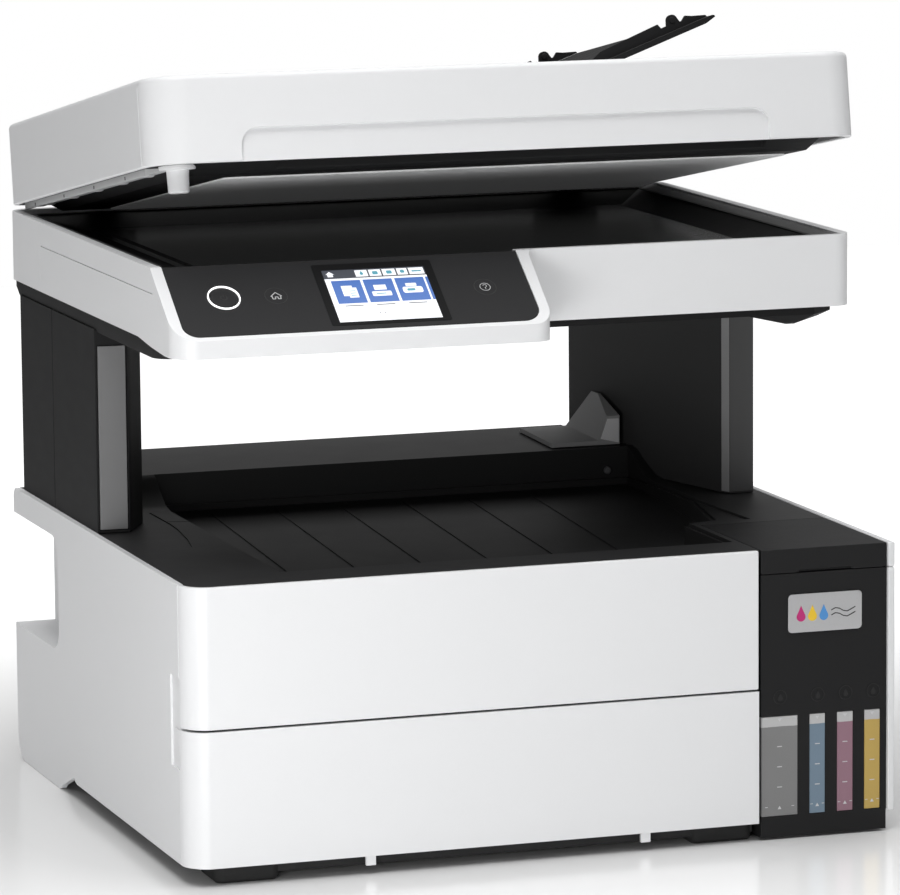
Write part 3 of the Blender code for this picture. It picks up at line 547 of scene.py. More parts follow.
# ---- base ----
WALL = 0.003
CROWN_STEPS = 6
FRONT_END = 0.3007
BODY_BOTTOM = 0.0093
BODY_REAR = 0.338
TANK_RIGHT = 0.3712


def front_plan():
    centre = (0.014, 0.014 - GAP)
    outer = arc(centre, 0.014, 180, 270, 18)
    inner = arc(centre, 0.014 - WALL, 270, 180, 18)
    return [(u, max(v, 0)) for u, v in outer] + [(FRONT_END, 0), (FRONT_END, WALL)] + inner


def build_front():
    piece("front_shell", prism(front_plan(), "z", 0.0786, DECK_TOP + GAP), "base", "white",
          instead_of=["front_panel"], edge=0.0009)
    tabs = [box((x, 0.0006, 0.0045), (x + 0.005, 0.0026, 0.0100)) for x in (0.0915, 0.2370)]
    piece("cassette_face", prism(front_plan(), "z", BODY_BOTTOM, 0.0776), "cassette", "white",
          instead_of=["cassette_front"], edge=0.0009, adds=tabs)
    piece("plinth_front", box((0.022, 0.0075, 0.0035), (0.300, 0.0105, 0.0125)), "base", "charcoal",
          edge=0.0006)
    piece("seam_shadow_strip", box((0.014, 0.0036, 0.0740), (0.300, 0.0050, 0.0820)), "base",
          "rubber", edge=0.0003)


def build_sides():
    seam, rear = 0.014, 0.340
    profile = [(seam, BODY_BOTTOM)] + arc((0.214, BODY_BOTTOM + 0.010), 0.010, 270, 312, 6)
    profile += arc((0.252, -0.008 + 0.0165), 0.0085, 222, 270, 6) + [(0.325, 0)]
    profile = [(v, max(z, 0.0)) for v, z in profile]
    profile += arc((rear - 0.015, 0.015), 0.015, 270, 360, 10)
    profile += arc((rear - 0.006, DECK_TOP - 0.0057), 0.006, 0, 90, 8) + [(seam, DECK_TOP + GAP)]
    pocket = box((0.0005, 0.244, 0.072), (0.025, rear, 0.139))
    hollow = rounded(0.247, 0.075, rear + WALL, 0.136, (0.012, 0, 0, 0.012), 12)
    sockets = box((0.018, 0.2617, 0.0817), (0.04, 0.3203, 0.1243))
    latch = box((-0.001, 0.0130, 0.0570), (0.0011, 0.0290, 0.1030))
    piece("left_side_shell", prism(profile, "x", 0, WALL), "base", "white",
          instead_of=["left_side_panel"], edge=0.0009, adds=[pocket],
          cuts=[prism(hollow, "x", -WALL, 0.022), sockets, latch])
    piece("side_latch", box((0.0002, 0.0145, 0.0650), (0.0010, 0.0235, 0.0770)), "base", "white",
          edge=0.0003)
    ports = [box((0, 0.268, 0.088), (0.027, 0.281, 0.101)),
             box((0, 0.290, 0.088), (0.027, 0.306, 0.102))]
    piece("socket_block", box((0.020, 0.262, 0.082), (0.030, 0.320, 0.124)), "base", "grey",
          instead_of=["port_block"], edge=0.0004, cuts=ports)
    contacts = box((0.0225, 0.2700, 0.0930), (0.0268, 0.2790, 0.0950))
    piece("socket_tongue", contacts, "base", "white_inner", edge=0.0002)
    repeated("socket_contacts", box((0, 0, 0), (0.0035, 0.0006, 0.0006)), 8,
             (0.0230, 0.2925, 0.0995), (0, 0.0015, 0), "base", "steel")

    right = [(0, 0.0108), (0.240, 0.0108), (0.262, 0), (0.325, 0), (0.335, 0.003),
             (BODY_REAR, 0.012), (BODY_REAR, DECK_TOP + GAP), (0.085, DECK_TOP + GAP),
             (0.085, 0.1369), (0, 0.1369)]
    piece("right_side_shell", prism(right, "x", TANK_RIGHT + GAP, WIDTH), "base", "white",
          instead_of=["right_side_panel"], edge=0.0008)


SHELF_FRONT, SHELF_REAR, RAMP_START, RAMP_END = 0.1645, 0.1665, 0.230, 0.262
LEFT_COLUMN = [(0.003, 0.174), (0.020, 0.173), (0.034, 0.199), (0.040, 0.328), (0.003, 0.328)]
RIGHT_COLUMN = [(0.3528, 0.174), (0.3668, 0.174), (0.3685, 0.200), (0.3685, 0.328), (0.317, 0.328),
                (0.330, 0.267), (0.3503, 0.179)]
COLUMN_TOP = 0.2562
TRAY_OPENING = [(0.058, 0.032), (0.299, 0.032), (0.299, 0.094), (0.317, 0.098), (0.331, 0.169),
                (0.3315, 0.215), (0.3275, RAMP_END), (0.058, RAMP_END)]


def about_middle(outline, margin):
    """A convex outline moved outwards by a margin."""
    middle = [sum(p[axis] for p in outline) / len(outline) for axis in (0, 1)]
    points = []
    for u, v in outline:
        factor = 1 + margin / math.hypot(u - middle[0], v - middle[1])
        points.append((middle[0] + (u - middle[0]) * factor, middle[1] + (v - middle[1]) * factor))
    return points


def shelf_height(y):
    return SHELF_FRONT + (SHELF_REAR - SHELF_FRONT) * (y - RAMP_END) / (BODY_REAR - RAMP_END)


def build_deck():
    under = DECK_TOP - 0.0037
    side = [(0.0033, DECK_TOP), (RAMP_START, DECK_TOP)] + [(0.240, 0.1512), (0.252, 0.1583)]
    side += [(0.2575, 0.1627), (RAMP_END, SHELF_FRONT), (BODY_REAR, SHELF_REAR), (BODY_REAR, under),
             (0.0033, under)]
    hollow = [(RAMP_END + WALL, SHELF_FRONT - WALL), (0.335, SHELF_REAR - WALL), (0.335, 0.140),
              (RAMP_END + WALL, 0.140)]
    plan = rounded(0.0033, 0.0033, TANK_RIGHT - GAP, 0.340, (0.0107, 0, 0, 0), 16)
    wedge = [(0.3300, 0.169), (0.3166, 0.0977), (0.3338, 0.0946)]
    crease = ribbon([(0.046, 0.229), (0.0462, 0.190), (0.045, 0.171), (0.0415, 0.142),
                     (0.037, 0.1185)], 0.0011)
    seam = ribbon([(0.0470, 0.1985), (0.0585, 0.1945)], 0.0009)
    holes = [box((0.3022, 0, 0.1), (WIDTH, 0.0853, 0.2)), prism(TRAY_OPENING, "z", 0.1, 0.2),
             prism(hollow, "x", 0.044, 0.310), prism(wedge, "z", DECK_TOP - 0.0012, 0.2),
             prism(crease, "z", DECK_TOP - 0.0006, 0.1505),
             prism(seam, "z", DECK_TOP - 0.0005, 0.1505)]
    holes += [prism(about_middle(column, 0.0006), "z", DECK_TOP, 0.2)
              for column in (LEFT_COLUMN, RIGHT_COLUMN)]
    holes += [box((corner_left, corner_front, DECK_TOP), (corner_right, DEPTH, 0.2))
              for corner_left, corner_front, corner_right in
              ((0, RAMP_START, 0.004), (0, 0.327, 0.041),
               (0.369, RAMP_START, WIDTH), (0.316, 0.327, WIDTH))]
    piece("deck_top", prism(side, "x", 0.0033, TANK_RIGHT - GAP), "base", "charcoal",
          instead_of=["deck"], edge=0.0005, keeps=[prism(plan, "z", 0, 0.2)], cuts=holes)

    def floor_height(y):
        return 0.128 + 0.016 * y / RAMP_END

    bowl = prism(about_middle(TRAY_OPENING, -0.0006), "z", 0.110, DECK_TOP - 0.002)
    pocket = prism(about_middle(TRAY_OPENING, -0.0026), "z", 0.1, 0.2)
    for vert in pocket.verts:
        if vert.co.z < 0.15:
            vert.co.z = floor_height(vert.co.y)
    below = prism([(0, 0.1), (0.34, 0.1), (0.34, 0.144), (0, 0.125)], "x", 0, WIDTH)
    piece("sheet_bowl", bowl, "base", "charcoal", instead_of=["output_tray"], edge=0.0006,
          cuts=[below, pocket])
    slope = math.atan2(0.016, RAMP_END)
    rib = moved(box((0, 0, 0), (0.0016, 0.205, 0.0011)), Matrix.Rotation(slope, 4, "X"))
    bmesh.ops.bevel(rib, geom=rib.edges[:], offset=0.0004, segments=2, affect="EDGES")
    repeated("bowl_ribs", rib, 6, (0.085, 0.045, floor_height(0.045) - 0.0006), (0.036, 0, 0),
             "base", "charcoal")
    piece("shelf_pin", lathe("y", (0.3154, 0.1519), [(0.0001, 0.2597), (0.0016, 0.2600),
                                                    (0.0021, 0.2607), (0.0021, 0.2617)], 24),
          "base", "grey")


def build_columns():
    low, high = DECK_TOP + GAP, COLUMN_TOP
    piece("left_post", prism(LEFT_COLUMN, "z", low, high), "base", "charcoal_fine",
          instead_of=["left_column"], edge=0.0005,
          cuts=[box((0, 0.2605, 0.1), (0.0036, 0.2613, 0.3)),
                box((0.0041, 0.165, DECK_TOP + 0.0015), (0.0196, 0.1750, high - 0.0085))])
    # Painted sheen: this light plate stands for light caught on the post's flat front face, which is the same dark
    # plastic as the rest of the post.
    insert = [(0.0046, 0.1740), (0.0191, 0.1732), (0.0191, 0.1752), (0.0046, 0.1752)]
    piece("left_post_insert", prism(insert, "z", DECK_TOP + 0.0020, high - 0.0090), "base",
          "painted_sheen_slate", edge=0.0003)
    piece("right_post", prism(RIGHT_COLUMN, "z", low, high), "base", "coal",
          instead_of=["right_column"], edge=0.0004)
    # Painted light: the front face plate is a lighter copy of the post's plastic for light falling on it, and the
    # pale strip on the chamfer is a painted highlight.
    piece("right_post_face", box((0.3532, 0.1737, low + 0.001), (0.3664, 0.1745, high - 0.001)),
          "base", "iron", edge=0.0002)
    lit_edge = [(0.3502, 0.1786), (0.3526, 0.1738), (0.3534, 0.1744), (0.3510, 0.1792)]
    piece("right_post_edge", prism(lit_edge, "z", low + 0.001, high - 0.001), "base", "fog",
          edge=0.0001)


def build_sheet_stop():
    front, rear = 0.267, 0.321
    lift = 0.0005
    side = [(front, shelf_height(front) + lift), (rear, shelf_height(rear) + lift),
            (0.3010, 0.1885), (0.2990, 0.1905), (0.2890, 0.1905), (0.2862, 0.1893),
            (front, 0.1810)]
    foot = [(0.285, 0.264), (0.3252, 0.264), (0.3165, 0.324), (0.285, 0.324)]
    spare = [(0.28, 0.264), (0.3125, 0.264), (0.3118, 0.324), (0.28, 0.324)]
    above = prism(spare, "z", 0.14, 0.2)
    for vert in above.verts:
        if vert.co.z < 0.15:
            vert.co.z = shelf_height(vert.co.y) + 0.003
        elif vert.co.x > 0.3:
            vert.co.x += 0.0110
    piece("sheet_stop", prism(side, "x", 0.285, 0.3252), "base", "fog",
          instead_of=["output_paper_guide"], edge=0.0008, keeps=[prism(foot, "z", 0.1, 0.2)],
          cuts=[above])
    # Painted light: this pale plate makes the guide's front face lighter, standing for light falling on it.
    face = [(0.3136, 0.1685), (0.3242, 0.1660), (0.3242, 0.1795), (0.3176, 0.1795)]
    piece("sheet_stop_face", prism(face, "y", 0.2666, 0.2680), "base", "pearl", edge=0.0002)


FEET = ((0.015, 0.006), (0.266, 0.006), (0.015, 0.270), (0.330, 0.270))


def build_underneath():
    names = ("foot_front_left", "foot_front_right", "foot_rear_left", "foot_rear_right")
    for name, (left, front) in zip(names, FEET):
        shape = slab(left, front, left + 0.034, front + 0.030, (0.005,) * 4, 0, 0.0087, 0.0005,
                     0.0015)
        piece(name + "_pad", shape, "base", "rubber", instead_of=[name])


def build_rear():
    left, low, right, high = 0.026, 0.0123, TANK_RIGHT - GAP, 0.1455
    holes = [box((0.0697, 0.33, 0.0197), (0.2903, 0.35, 0.1383)),
             box((0.3057, 0.33, 0.0157), (0.3663, 0.35, 0.0623)),
             box((0.3177, 0.33, 0.0857), (0.3463, 0.35, 0.1103)),
             box((0, 0.33, 0.069), (0.028, 0.35, 0.142))]
    piece("rear_wall", box((left, 0.335, low), (right, BODY_REAR, high)), "base", "white",
          instead_of=["rear_panel"], edge=0.0006, cuts=holes)
    grips = [prism(rounded(0.150, 0.112, 0.210, 0.130, (0.004,) * 4, 8), "y", 0.3405, 0.36),
             box((0.078, 0.3462, 0.030), (0.282, 0.36, 0.0308)),
             box((0.078, 0.3462, 0.100), (0.282, 0.36, 0.1008))]
    piece("rear_door", box((0.070, 0.326, 0.020), (0.290, DEPTH, 0.138)), "rear_cover", "charcoal",
          instead_of=["rear_cover"], edge=0.0022, rounds=4,
          cuts=[box((0.073, 0.32, 0.023), (0.287, 0.3385, 0.135))] + grips)
    rib = box((0, 0, 0), (0.0022, 0.0009, 0.058))
    bmesh.ops.bevel(rib, geom=rib.edges[:], offset=0.0003, segments=2, affect="EDGES")
    repeated("rear_door_ribs", rib, 17, (0.0900, 0.3464, 0.036), (0.0112, 0, 0), "rear_cover",
             "charcoal")
    piece("pad_door", box((0.306, 0.262, 0.016), (0.366, 0.3385, 0.062)), "maintenance_box",
          "charcoal", instead_of=["maintenance_box"], edge=0.0009,
          cuts=[prism(rounded(0.322, 0.050, 0.350, 0.058, (0.003,) * 4, 6), "y", 0.336, 0.36)])
    piece("mains_socket", box((0.318, 0.316, 0.086), (0.346, 0.3385, 0.110)), "base", "rubber",
          instead_of=["ac_inlet"], edge=0.0005,
          cuts=[prism(rounded(0.322, 0.090, 0.342, 0.106, (0.004,) * 4, 6), "y", 0.322, 0.35)])
    repeated("mains_pins", box((0, 0, 0), (0.0022, 0.012, 0.0022)), 2, (0.3275, 0.3215, 0.0968),
             (0.0068, 0, 0), "base", "steel")
    # Painted shade: dark strips laid on the rear wall stand for the shade inside its vent slots, which are not
    # cut.
    vent = box((0, 0, 0), (0.0016, 0.0006, 0.012))
    repeated("rear_vents", vent, 9, (0.0330, 0.3377, 0.030), (0.0038, 0, 0), "base", "rubber")
    head = lathe("y", (0, 0), [(0.0001, 0.0004), (0.0012, 0.0004), (0.0014, 0.0012),
                               (0.0030, 0.0013), (0.0034, 0.0007), (0.0034, 0.0)], 24)
    repeated("rear_screws", head, 2, (0.0480, 0.3377, 0.0600), (0.2490, 0, 0.0130), "base", "steel")


# ---- ink tanks ----
TANKS = {"black": (0.3053, 0.3252, 0.3022, 0.3228), "cyan": (0.3258, 0.3410, 0.3290, 0.3378),
         "magenta": (0.3416, 0.3559, 0.3441, 0.3531), "yellow": (0.3565, 0.3686, 0.3591, 0.3680)}
MARK_X = {"black": 0.3130, "cyan": 0.3335, "magenta": 0.3488, "yellow": 0.3640}


def build_tanks():
    front = 0.002
    holes = [box((0.305, front + 0.0025, 0.006), (TANK_RIGHT - 0.0022, 0.0822, 0.2))]
    for left, right, pane_left, pane_right in TANKS.values():
        holes.append(box((max(pane_left, 0.3029) if pane_left > 0.303 else 0.30, 0, 0.0118),
                         (pane_right, front + 0.003, 0.0638)))
    piece("tank_case", box((0.3025, front, 0.001), (TANK_RIGHT, 0.0847, 0.1369)), "base",
          "satin_black", instead_of=["tank_housing"], edge=0.0005, cuts=holes)
    for colour, (left, right, pane_left, pane_right) in TANKS.items():
        pane_left = max(pane_left, 0.3027)
        pane = box((pane_left + 0.00015, front + 0.0003, 0.0120),
                   (pane_right - 0.00015, 0.0060, 0.0636))
        piece("tank_" + colour, box((left, front + 0.0028, 0.0065), (right, 0.0815, 0.100)), "base",
              "ink_" + colour, instead_of=["ink_tank_" + colour], adds=[pane], edge=0.0003,
              rounds=2)
        middle = (left + right) / 2
        profile = [(0.0001, 0.1003), (0.0052, 0.1003), (0.0054, 0.1010), (0.0054, 0.1085),
                   (0.0050, 0.1098), (0.0043, 0.1103), (0.0001, 0.1103)]
        strap = box((middle - 0.002, 0.045, 0.1065), (middle + 0.002, 0.057, 0.109))
        piece("tank_plug_" + colour, lathe("z", (middle, 0.045), profile, 40), "cap_" + colour,
              "ink_" + colour, instead_of=["tank_cap_" + colour], adds=[strap])
        half = (pane_right - pane_left) / 2
        spot = (pane_left + pane_right) / 2
        near, far = front + 0.00015, front + 0.0004
        tick = box((-0.0013, near, -0.00022), (0.0013, far, 0.00022))
        repeated("level_ticks_" + colour, tick, 3, (spot, 0, 0.0270), (0, 0, 0.0105), "base",
                 "print_light")
        low_peak = [(spot - 0.0010, 0.0155), (spot + 0.0010, 0.0155), (spot, 0.0172)]
        high_peak = [(spot - 0.0011, 0.0625), (spot, 0.0608), (spot + 0.0011, 0.0625)]
        peaks = [prism(peak, "y", near, far) for peak in (low_peak, high_peak)]
        for side in (-1, 1):
            edge_x = spot + side * half * 0.72
            peaks.append(box((edge_x - 0.0007, near, 0.0167), (edge_x + 0.0007, far, 0.0170)))
        piece("level_peaks_" + colour, join_shapes(peaks), "base", "print_light")
        x = MARK_X[colour]
        sunk, raised = -front - 0.0001, -front + 0.00022
        mark = [ring((x, 0.0735), 0.0037, 0.0033, sunk, raised),
                prism(drop((x, 0.0728), 0.0013, 0.0012), "z", sunk, raised)]
        piece("tank_mark_" + colour, on_front(join_shapes(mark)), "base", "print_dark")


def build_tank_cover():
    low, high, front = 0.1372, DECK_TOP + 0.0001, 0.0016
    grip = prism(rounded(0.323, low - WALL, 0.352, low + 0.0013, (0, 0, 0.0006, 0.0006), 4), "y", 0,
                 front + 0.0014)
    hollow = box((0.3045, front + 0.002, low - WALL), (0.3690, 0.0827, high - 0.0022))
    piece("fill_cover", box((0.3025, front, low), (TANK_RIGHT - 0.0001, 0.0847, high)),
          "tank_cover", "satin_black", instead_of=["tank_cover"], edge=0.0007,
          cuts=[hollow, grip])
    piece("fill_cover_side", box((TANK_RIGHT + GAP, 0, low), (WIDTH, 0.0847, DECK_TOP + GAP)),
          "tank_cover", "white", instead_of=["tank_cover"], edge=0.0008)
    plate = prism(rounded(0.317, 0.1063, 0.3573, 0.1261, (0.0022,) * 4, 8), "y", 0.0012, 0.0017)
    piece("badge_plate", plate, "base", "badge", instead_of=["badge"], edge=0.00015, rounds=2)
    for index, colour in enumerate(("mark_magenta", "mark_yellow", "mark_blue")):
        outline = drop((0.3240 + 0.0062 * index, 0.1143), 0.0024, 0.0034)
        piece(colour + "_drop", on_front(prism(outline, "z", -0.00119, -0.00105)), "base", colour)
    wave = [(0.3405 + 0.0022 * step, 0.1142 + 0.0011 * math.sin(step * 1.25)) for step in range(7)]
    lines = [prism(ribbon([(u, v + lift) for u, v in wave], 0.0005), "z", -0.00119, -0.00105)
             for lift in (0.0, 0.0026)]
    piece("badge_waves", on_front(join_shapes(lines)), "base", "print_dark")


# ---- scanner ----
CHIN_FRONT, CHIN_RIGHT, SCANNER_TOP, SCANNER_REAR = 0.010, 0.196, 0.3015, 0.340
PANEL_RIGHT = 0.1905
SCANNER_LOW, CHIN_LOW = 0.2645, 0.2607
HINGES = (("left", 0.036), ("right", 0.303))
BED = (0.0055, 0.0595, 0.3695, 0.3345)
PEG = (0.0195, 0.0665)


def scanner_plan():
    right = rounded(0, 0.056, WIDTH, SCANNER_REAR, (0, 0.010, 0.012, 0.012), 14)
    neck = arc((CHIN_RIGHT - 0.010, CHIN_FRONT + 0.010), 0.010, 270, 354, 12)
    neck += [(CHIN_RIGHT + 0.0008, 0.050)] + arc((CHIN_RIGHT + 0.0068, 0.050), 0.006, 180, 90, 10)
    return arc((0.013, CHIN_FRONT + 0.013), 0.013, 180, 270, 14) + neck + right[1:]


def over_slope(low, high, left, right):
    """Space over the control panel's plane, between two heights above it."""
    cosine, sine = math.cos(PANEL_TILT), math.sin(PANEL_TILT)

    def on_plane(y, height):
        z = PANEL_HOME.z + (y - PANEL_HOME.y) * math.tan(PANEL_TILT)
        return (y - height * sine, z + height * cosine)

    foot, crest = on_plane(-0.04, low), on_plane(0.0553, low)
    outline = [foot, crest, (crest[0] - high * sine, crest[1] + high),
               (foot[0] - high, foot[1] + high)]
    return prism(outline, "x", left, right)


def on_slope(shape):
    """Lay a shape drawn on the control panel's plane into the base's drawing."""
    return moved(shape, Matrix.Translation(PANEL_HOME) @ Matrix.Rotation(PANEL_TILT, 4, "X"))


def panel_plan(margin, length):
    return rounded(0.0062 + margin, -0.0130 + margin, PANEL_RIGHT - margin, length,
                   (0.008, 0.010, 0, 0), 14)


def build_scanner():
    lower = loft([(base_plan(0.0060), 0.2548), (base_plan(0.0040), COLUMN_TOP),
                  (base_plan(0), 0.2600), (base_plan(0), 0.2642)])
    arch = [(0.046, 0.24), (0.050, 0.2604), (0.308, 0.2604), (0.314, 0.24)]
    flare = [(0.28, 0.24), (0.28, 0.2604), (0.320, 0.2604), (0.346, 0.2540), (0.346, 0.24)]
    piece("scanner_foot", lower, "base", "charcoal_fine", instead_of=["scanner_base"], edge=0.0008,
          cuts=[prism(arch, "y", 0, 0.4), prism(flare, "y", 0, 0.165)]
          + [prism(about_middle(column, 0.0004), "z", 0.2, COLUMN_TOP)
             for column in (LEFT_COLUMN, RIGHT_COLUMN)])
    left, front, right, rear = BED
    chin_side = [(CHIN_FRONT, CHIN_LOW), (0.0300, CHIN_LOW), (0.0540, 0.2621),
                 (0.0780, SCANNER_LOW), (0.0780, 0.2685), (CHIN_FRONT, 0.2697)]
    corner = rounded(0, CHIN_FRONT, WIDTH + 0.1, DEPTH, (0.013, 0, 0, 0), 14)
    end = arc((CHIN_RIGHT - 0.010, CHIN_FRONT + 0.010), 0.010, 270, 354, 12)
    beyond = CHIN_RIGHT + 0.0030
    chin_end = prism([(end[0][0], 0)] + end + [(beyond, end[-1][1]), (beyond, 0)], "z", 0.2, 0.2700)
    piece("scanner_shell", prism(scanner_plan(), "z", SCANNER_LOW, SCANNER_TOP), "base", "white",
          instead_of=["scanner_frame"], edge=0.0009,
          adds=[prism(chin_side, "x", 0, CHIN_RIGHT - 0.0008)],
          keeps=[prism(corner, "z", 0.2, 0.4)],
          cuts=[over_slope(0, 0.06, -0.01, CHIN_RIGHT + 0.0064), chin_end,
                box((left, front, 0.2), (right, rear, 0.4)),
                box((0.010, 0.016, 0.255), (CHIN_RIGHT - 0.010, 0.0595, 0.2665)),
                on_slope(prism(panel_plan(-GAP, 0.0425), "z", -0.0025, 0.01)),
                box((0.0059, 0.0515, 0.2962), (PANEL_RIGHT + GAP, 0.0600, 0.31)),
                box((-0.001, 0.050, 0.2887), (0.0009, 0.271, 0.2892)),
                box((-0.001, 0.2709, 0.2700), (0.0004, 0.2712, 0.2892))])
    crest = [(0.0500, 0.2966), (0.0500, 0.2979), (0.0532, 0.3002), (0.0543, 0.3006),
             (0.0594, 0.3006), (0.0594, 0.2966)]
    piece("panel_crest", prism(crest, "x", 0.0062, PANEL_RIGHT), "base", "panel_black")
    for side, x in HINGES:
        y, z = LID_HINGE.y, LID_HINGE.z
        ears = [rod("x", (y, z), 0.0032, ear, ear + 0.008, 32) for ear in (x, x + 0.028)]
        ears += [box((ear, SCANNER_REAR - 0.001, 0.285), (ear + 0.008, y + 0.0032, z))
                 for ear in (x, x + 0.028)]
        block = box((x, SCANNER_REAR - 0.001, 0.280), (x + 0.036, y + 0.0032, 0.2995))
        piece("hinge_ears_" + side, block, "base", "charcoal", edge=0.0004, adds=ears)


def base_plan(margin):
    """Plan of the dark foot under the scanner, drawn a margin further in."""
    left, front = 0.0035 + margin * 0.1, 0.053 + margin
    right, rear = 0.3705 - margin, 0.338 - margin
    corners = arc((left + 0.010, front + 0.010), 0.010, 180, 270, 8)
    corners += [(0.190, front), (0.206, 0.062 + margin), (0.356 - margin * 1.5, 0.062 + margin)]
    corners += [(right, 0.076 + margin * 2), (right, rear), (left, rear)]
    return corners


def build_bed():
    left, front, right, rear = BED
    glass = (0.044, 0.092, 0.342, 0.312)
    rim = 0.0004
    outer = [(left + rim, front + rim), (right - rim, front + rim), (right - rim, rear - rim),
             (left + rim, rear - rim)]

    def inner(side, fore, back, right_side):
        return [(left + side, front + fore), (right - right_side, front + fore),
                (right - right_side, rear - back), (left + side, rear - back)]

    well = loft([(inner(0.030, 0.008, 0.022, 0.026), 0.2921),
                 (inner(0.006, 0.002, 0.005, 0.010), 0.2984),
                 (inner(0.0055, 0.0018, 0.0045, 0.0095), 0.4)])
    piece("bed_plate", prism(outer, "z", 0.2662, 0.2990), "base", "gloss_black",
          instead_of=["scanner_bed"], edge=0.0004,
          cuts=[well, rod("z", PEG, 0.0074, 0.28, 0.4, 32),
                box((0.020, 0.066, 0.2685), (0.355, 0.319, 0.2885)),
                box((glass[0], glass[1], 0.28), (glass[2], glass[3], 0.3))])
    sheet = box((glass[0] + GAP, glass[1] + GAP, 0.2890), (glass[2] - GAP, glass[3] - GAP, 0.2920))
    piece("flatbed_glass", sheet, "base", "glass", instead_of=["scanner_glass"], edge=0.0002,
          rounds=2)
    ledge = [(0.0062, 0.2985), (0.0078, 0.2993), (0.0132, 0.2990), (0.0146, 0.2975)]
    piece("bed_ledge", prism(ledge, "y", 0.0800, 0.3335), "base", "iron", edge=0.0002)
    wall = [(0.3604, 0.2975), (0.3604, 0.2986), (0.3678, 0.3004), (0.3692, 0.3006),
            (0.3692, 0.2975)]
    piece("bed_wall_right", prism(wall, "y", 0.0602, 0.3335), "base", "iron", edge=0.0002)
    ruler = box((0, 0, 0), (0.0003, 0.0028, 0.0002))
    repeated("bed_ruler", ruler, 29, (0.0460, 0.0880, 0.29205), (0.010, 0, 0), "base", "print_grey")
    piece("scan_strip", box((0.0300, 0.095, 0.29195), (0.0395, 0.309, 0.2923)), "base", "glass",
          edge=0.0001, rounds=1)


# ---- control panel ----
SCREEN = (0.0862, -0.0076, 0.1394, 0.0302)
POWER, HOME, HELP = (0.0322, 0.0146), (0.0588, 0.0141), (0.1673, 0.0130)


def screen_part(name, shapes, finish):
    piece(name, join_shapes(shapes), "base", finish, SLOPE)


def tile(left, low, right, high, layer, radius=0.0):
    """A flat printed patch on the display, by its layer over the screen's surface."""
    base = 0.00010 + 0.00006 * layer
    if radius:
        return prism(rounded(left, low, right, high, (radius,) * 4, 4), "z", base, base + 0.00005)
    return box((left, low, base), (right, high, base + 0.00005))


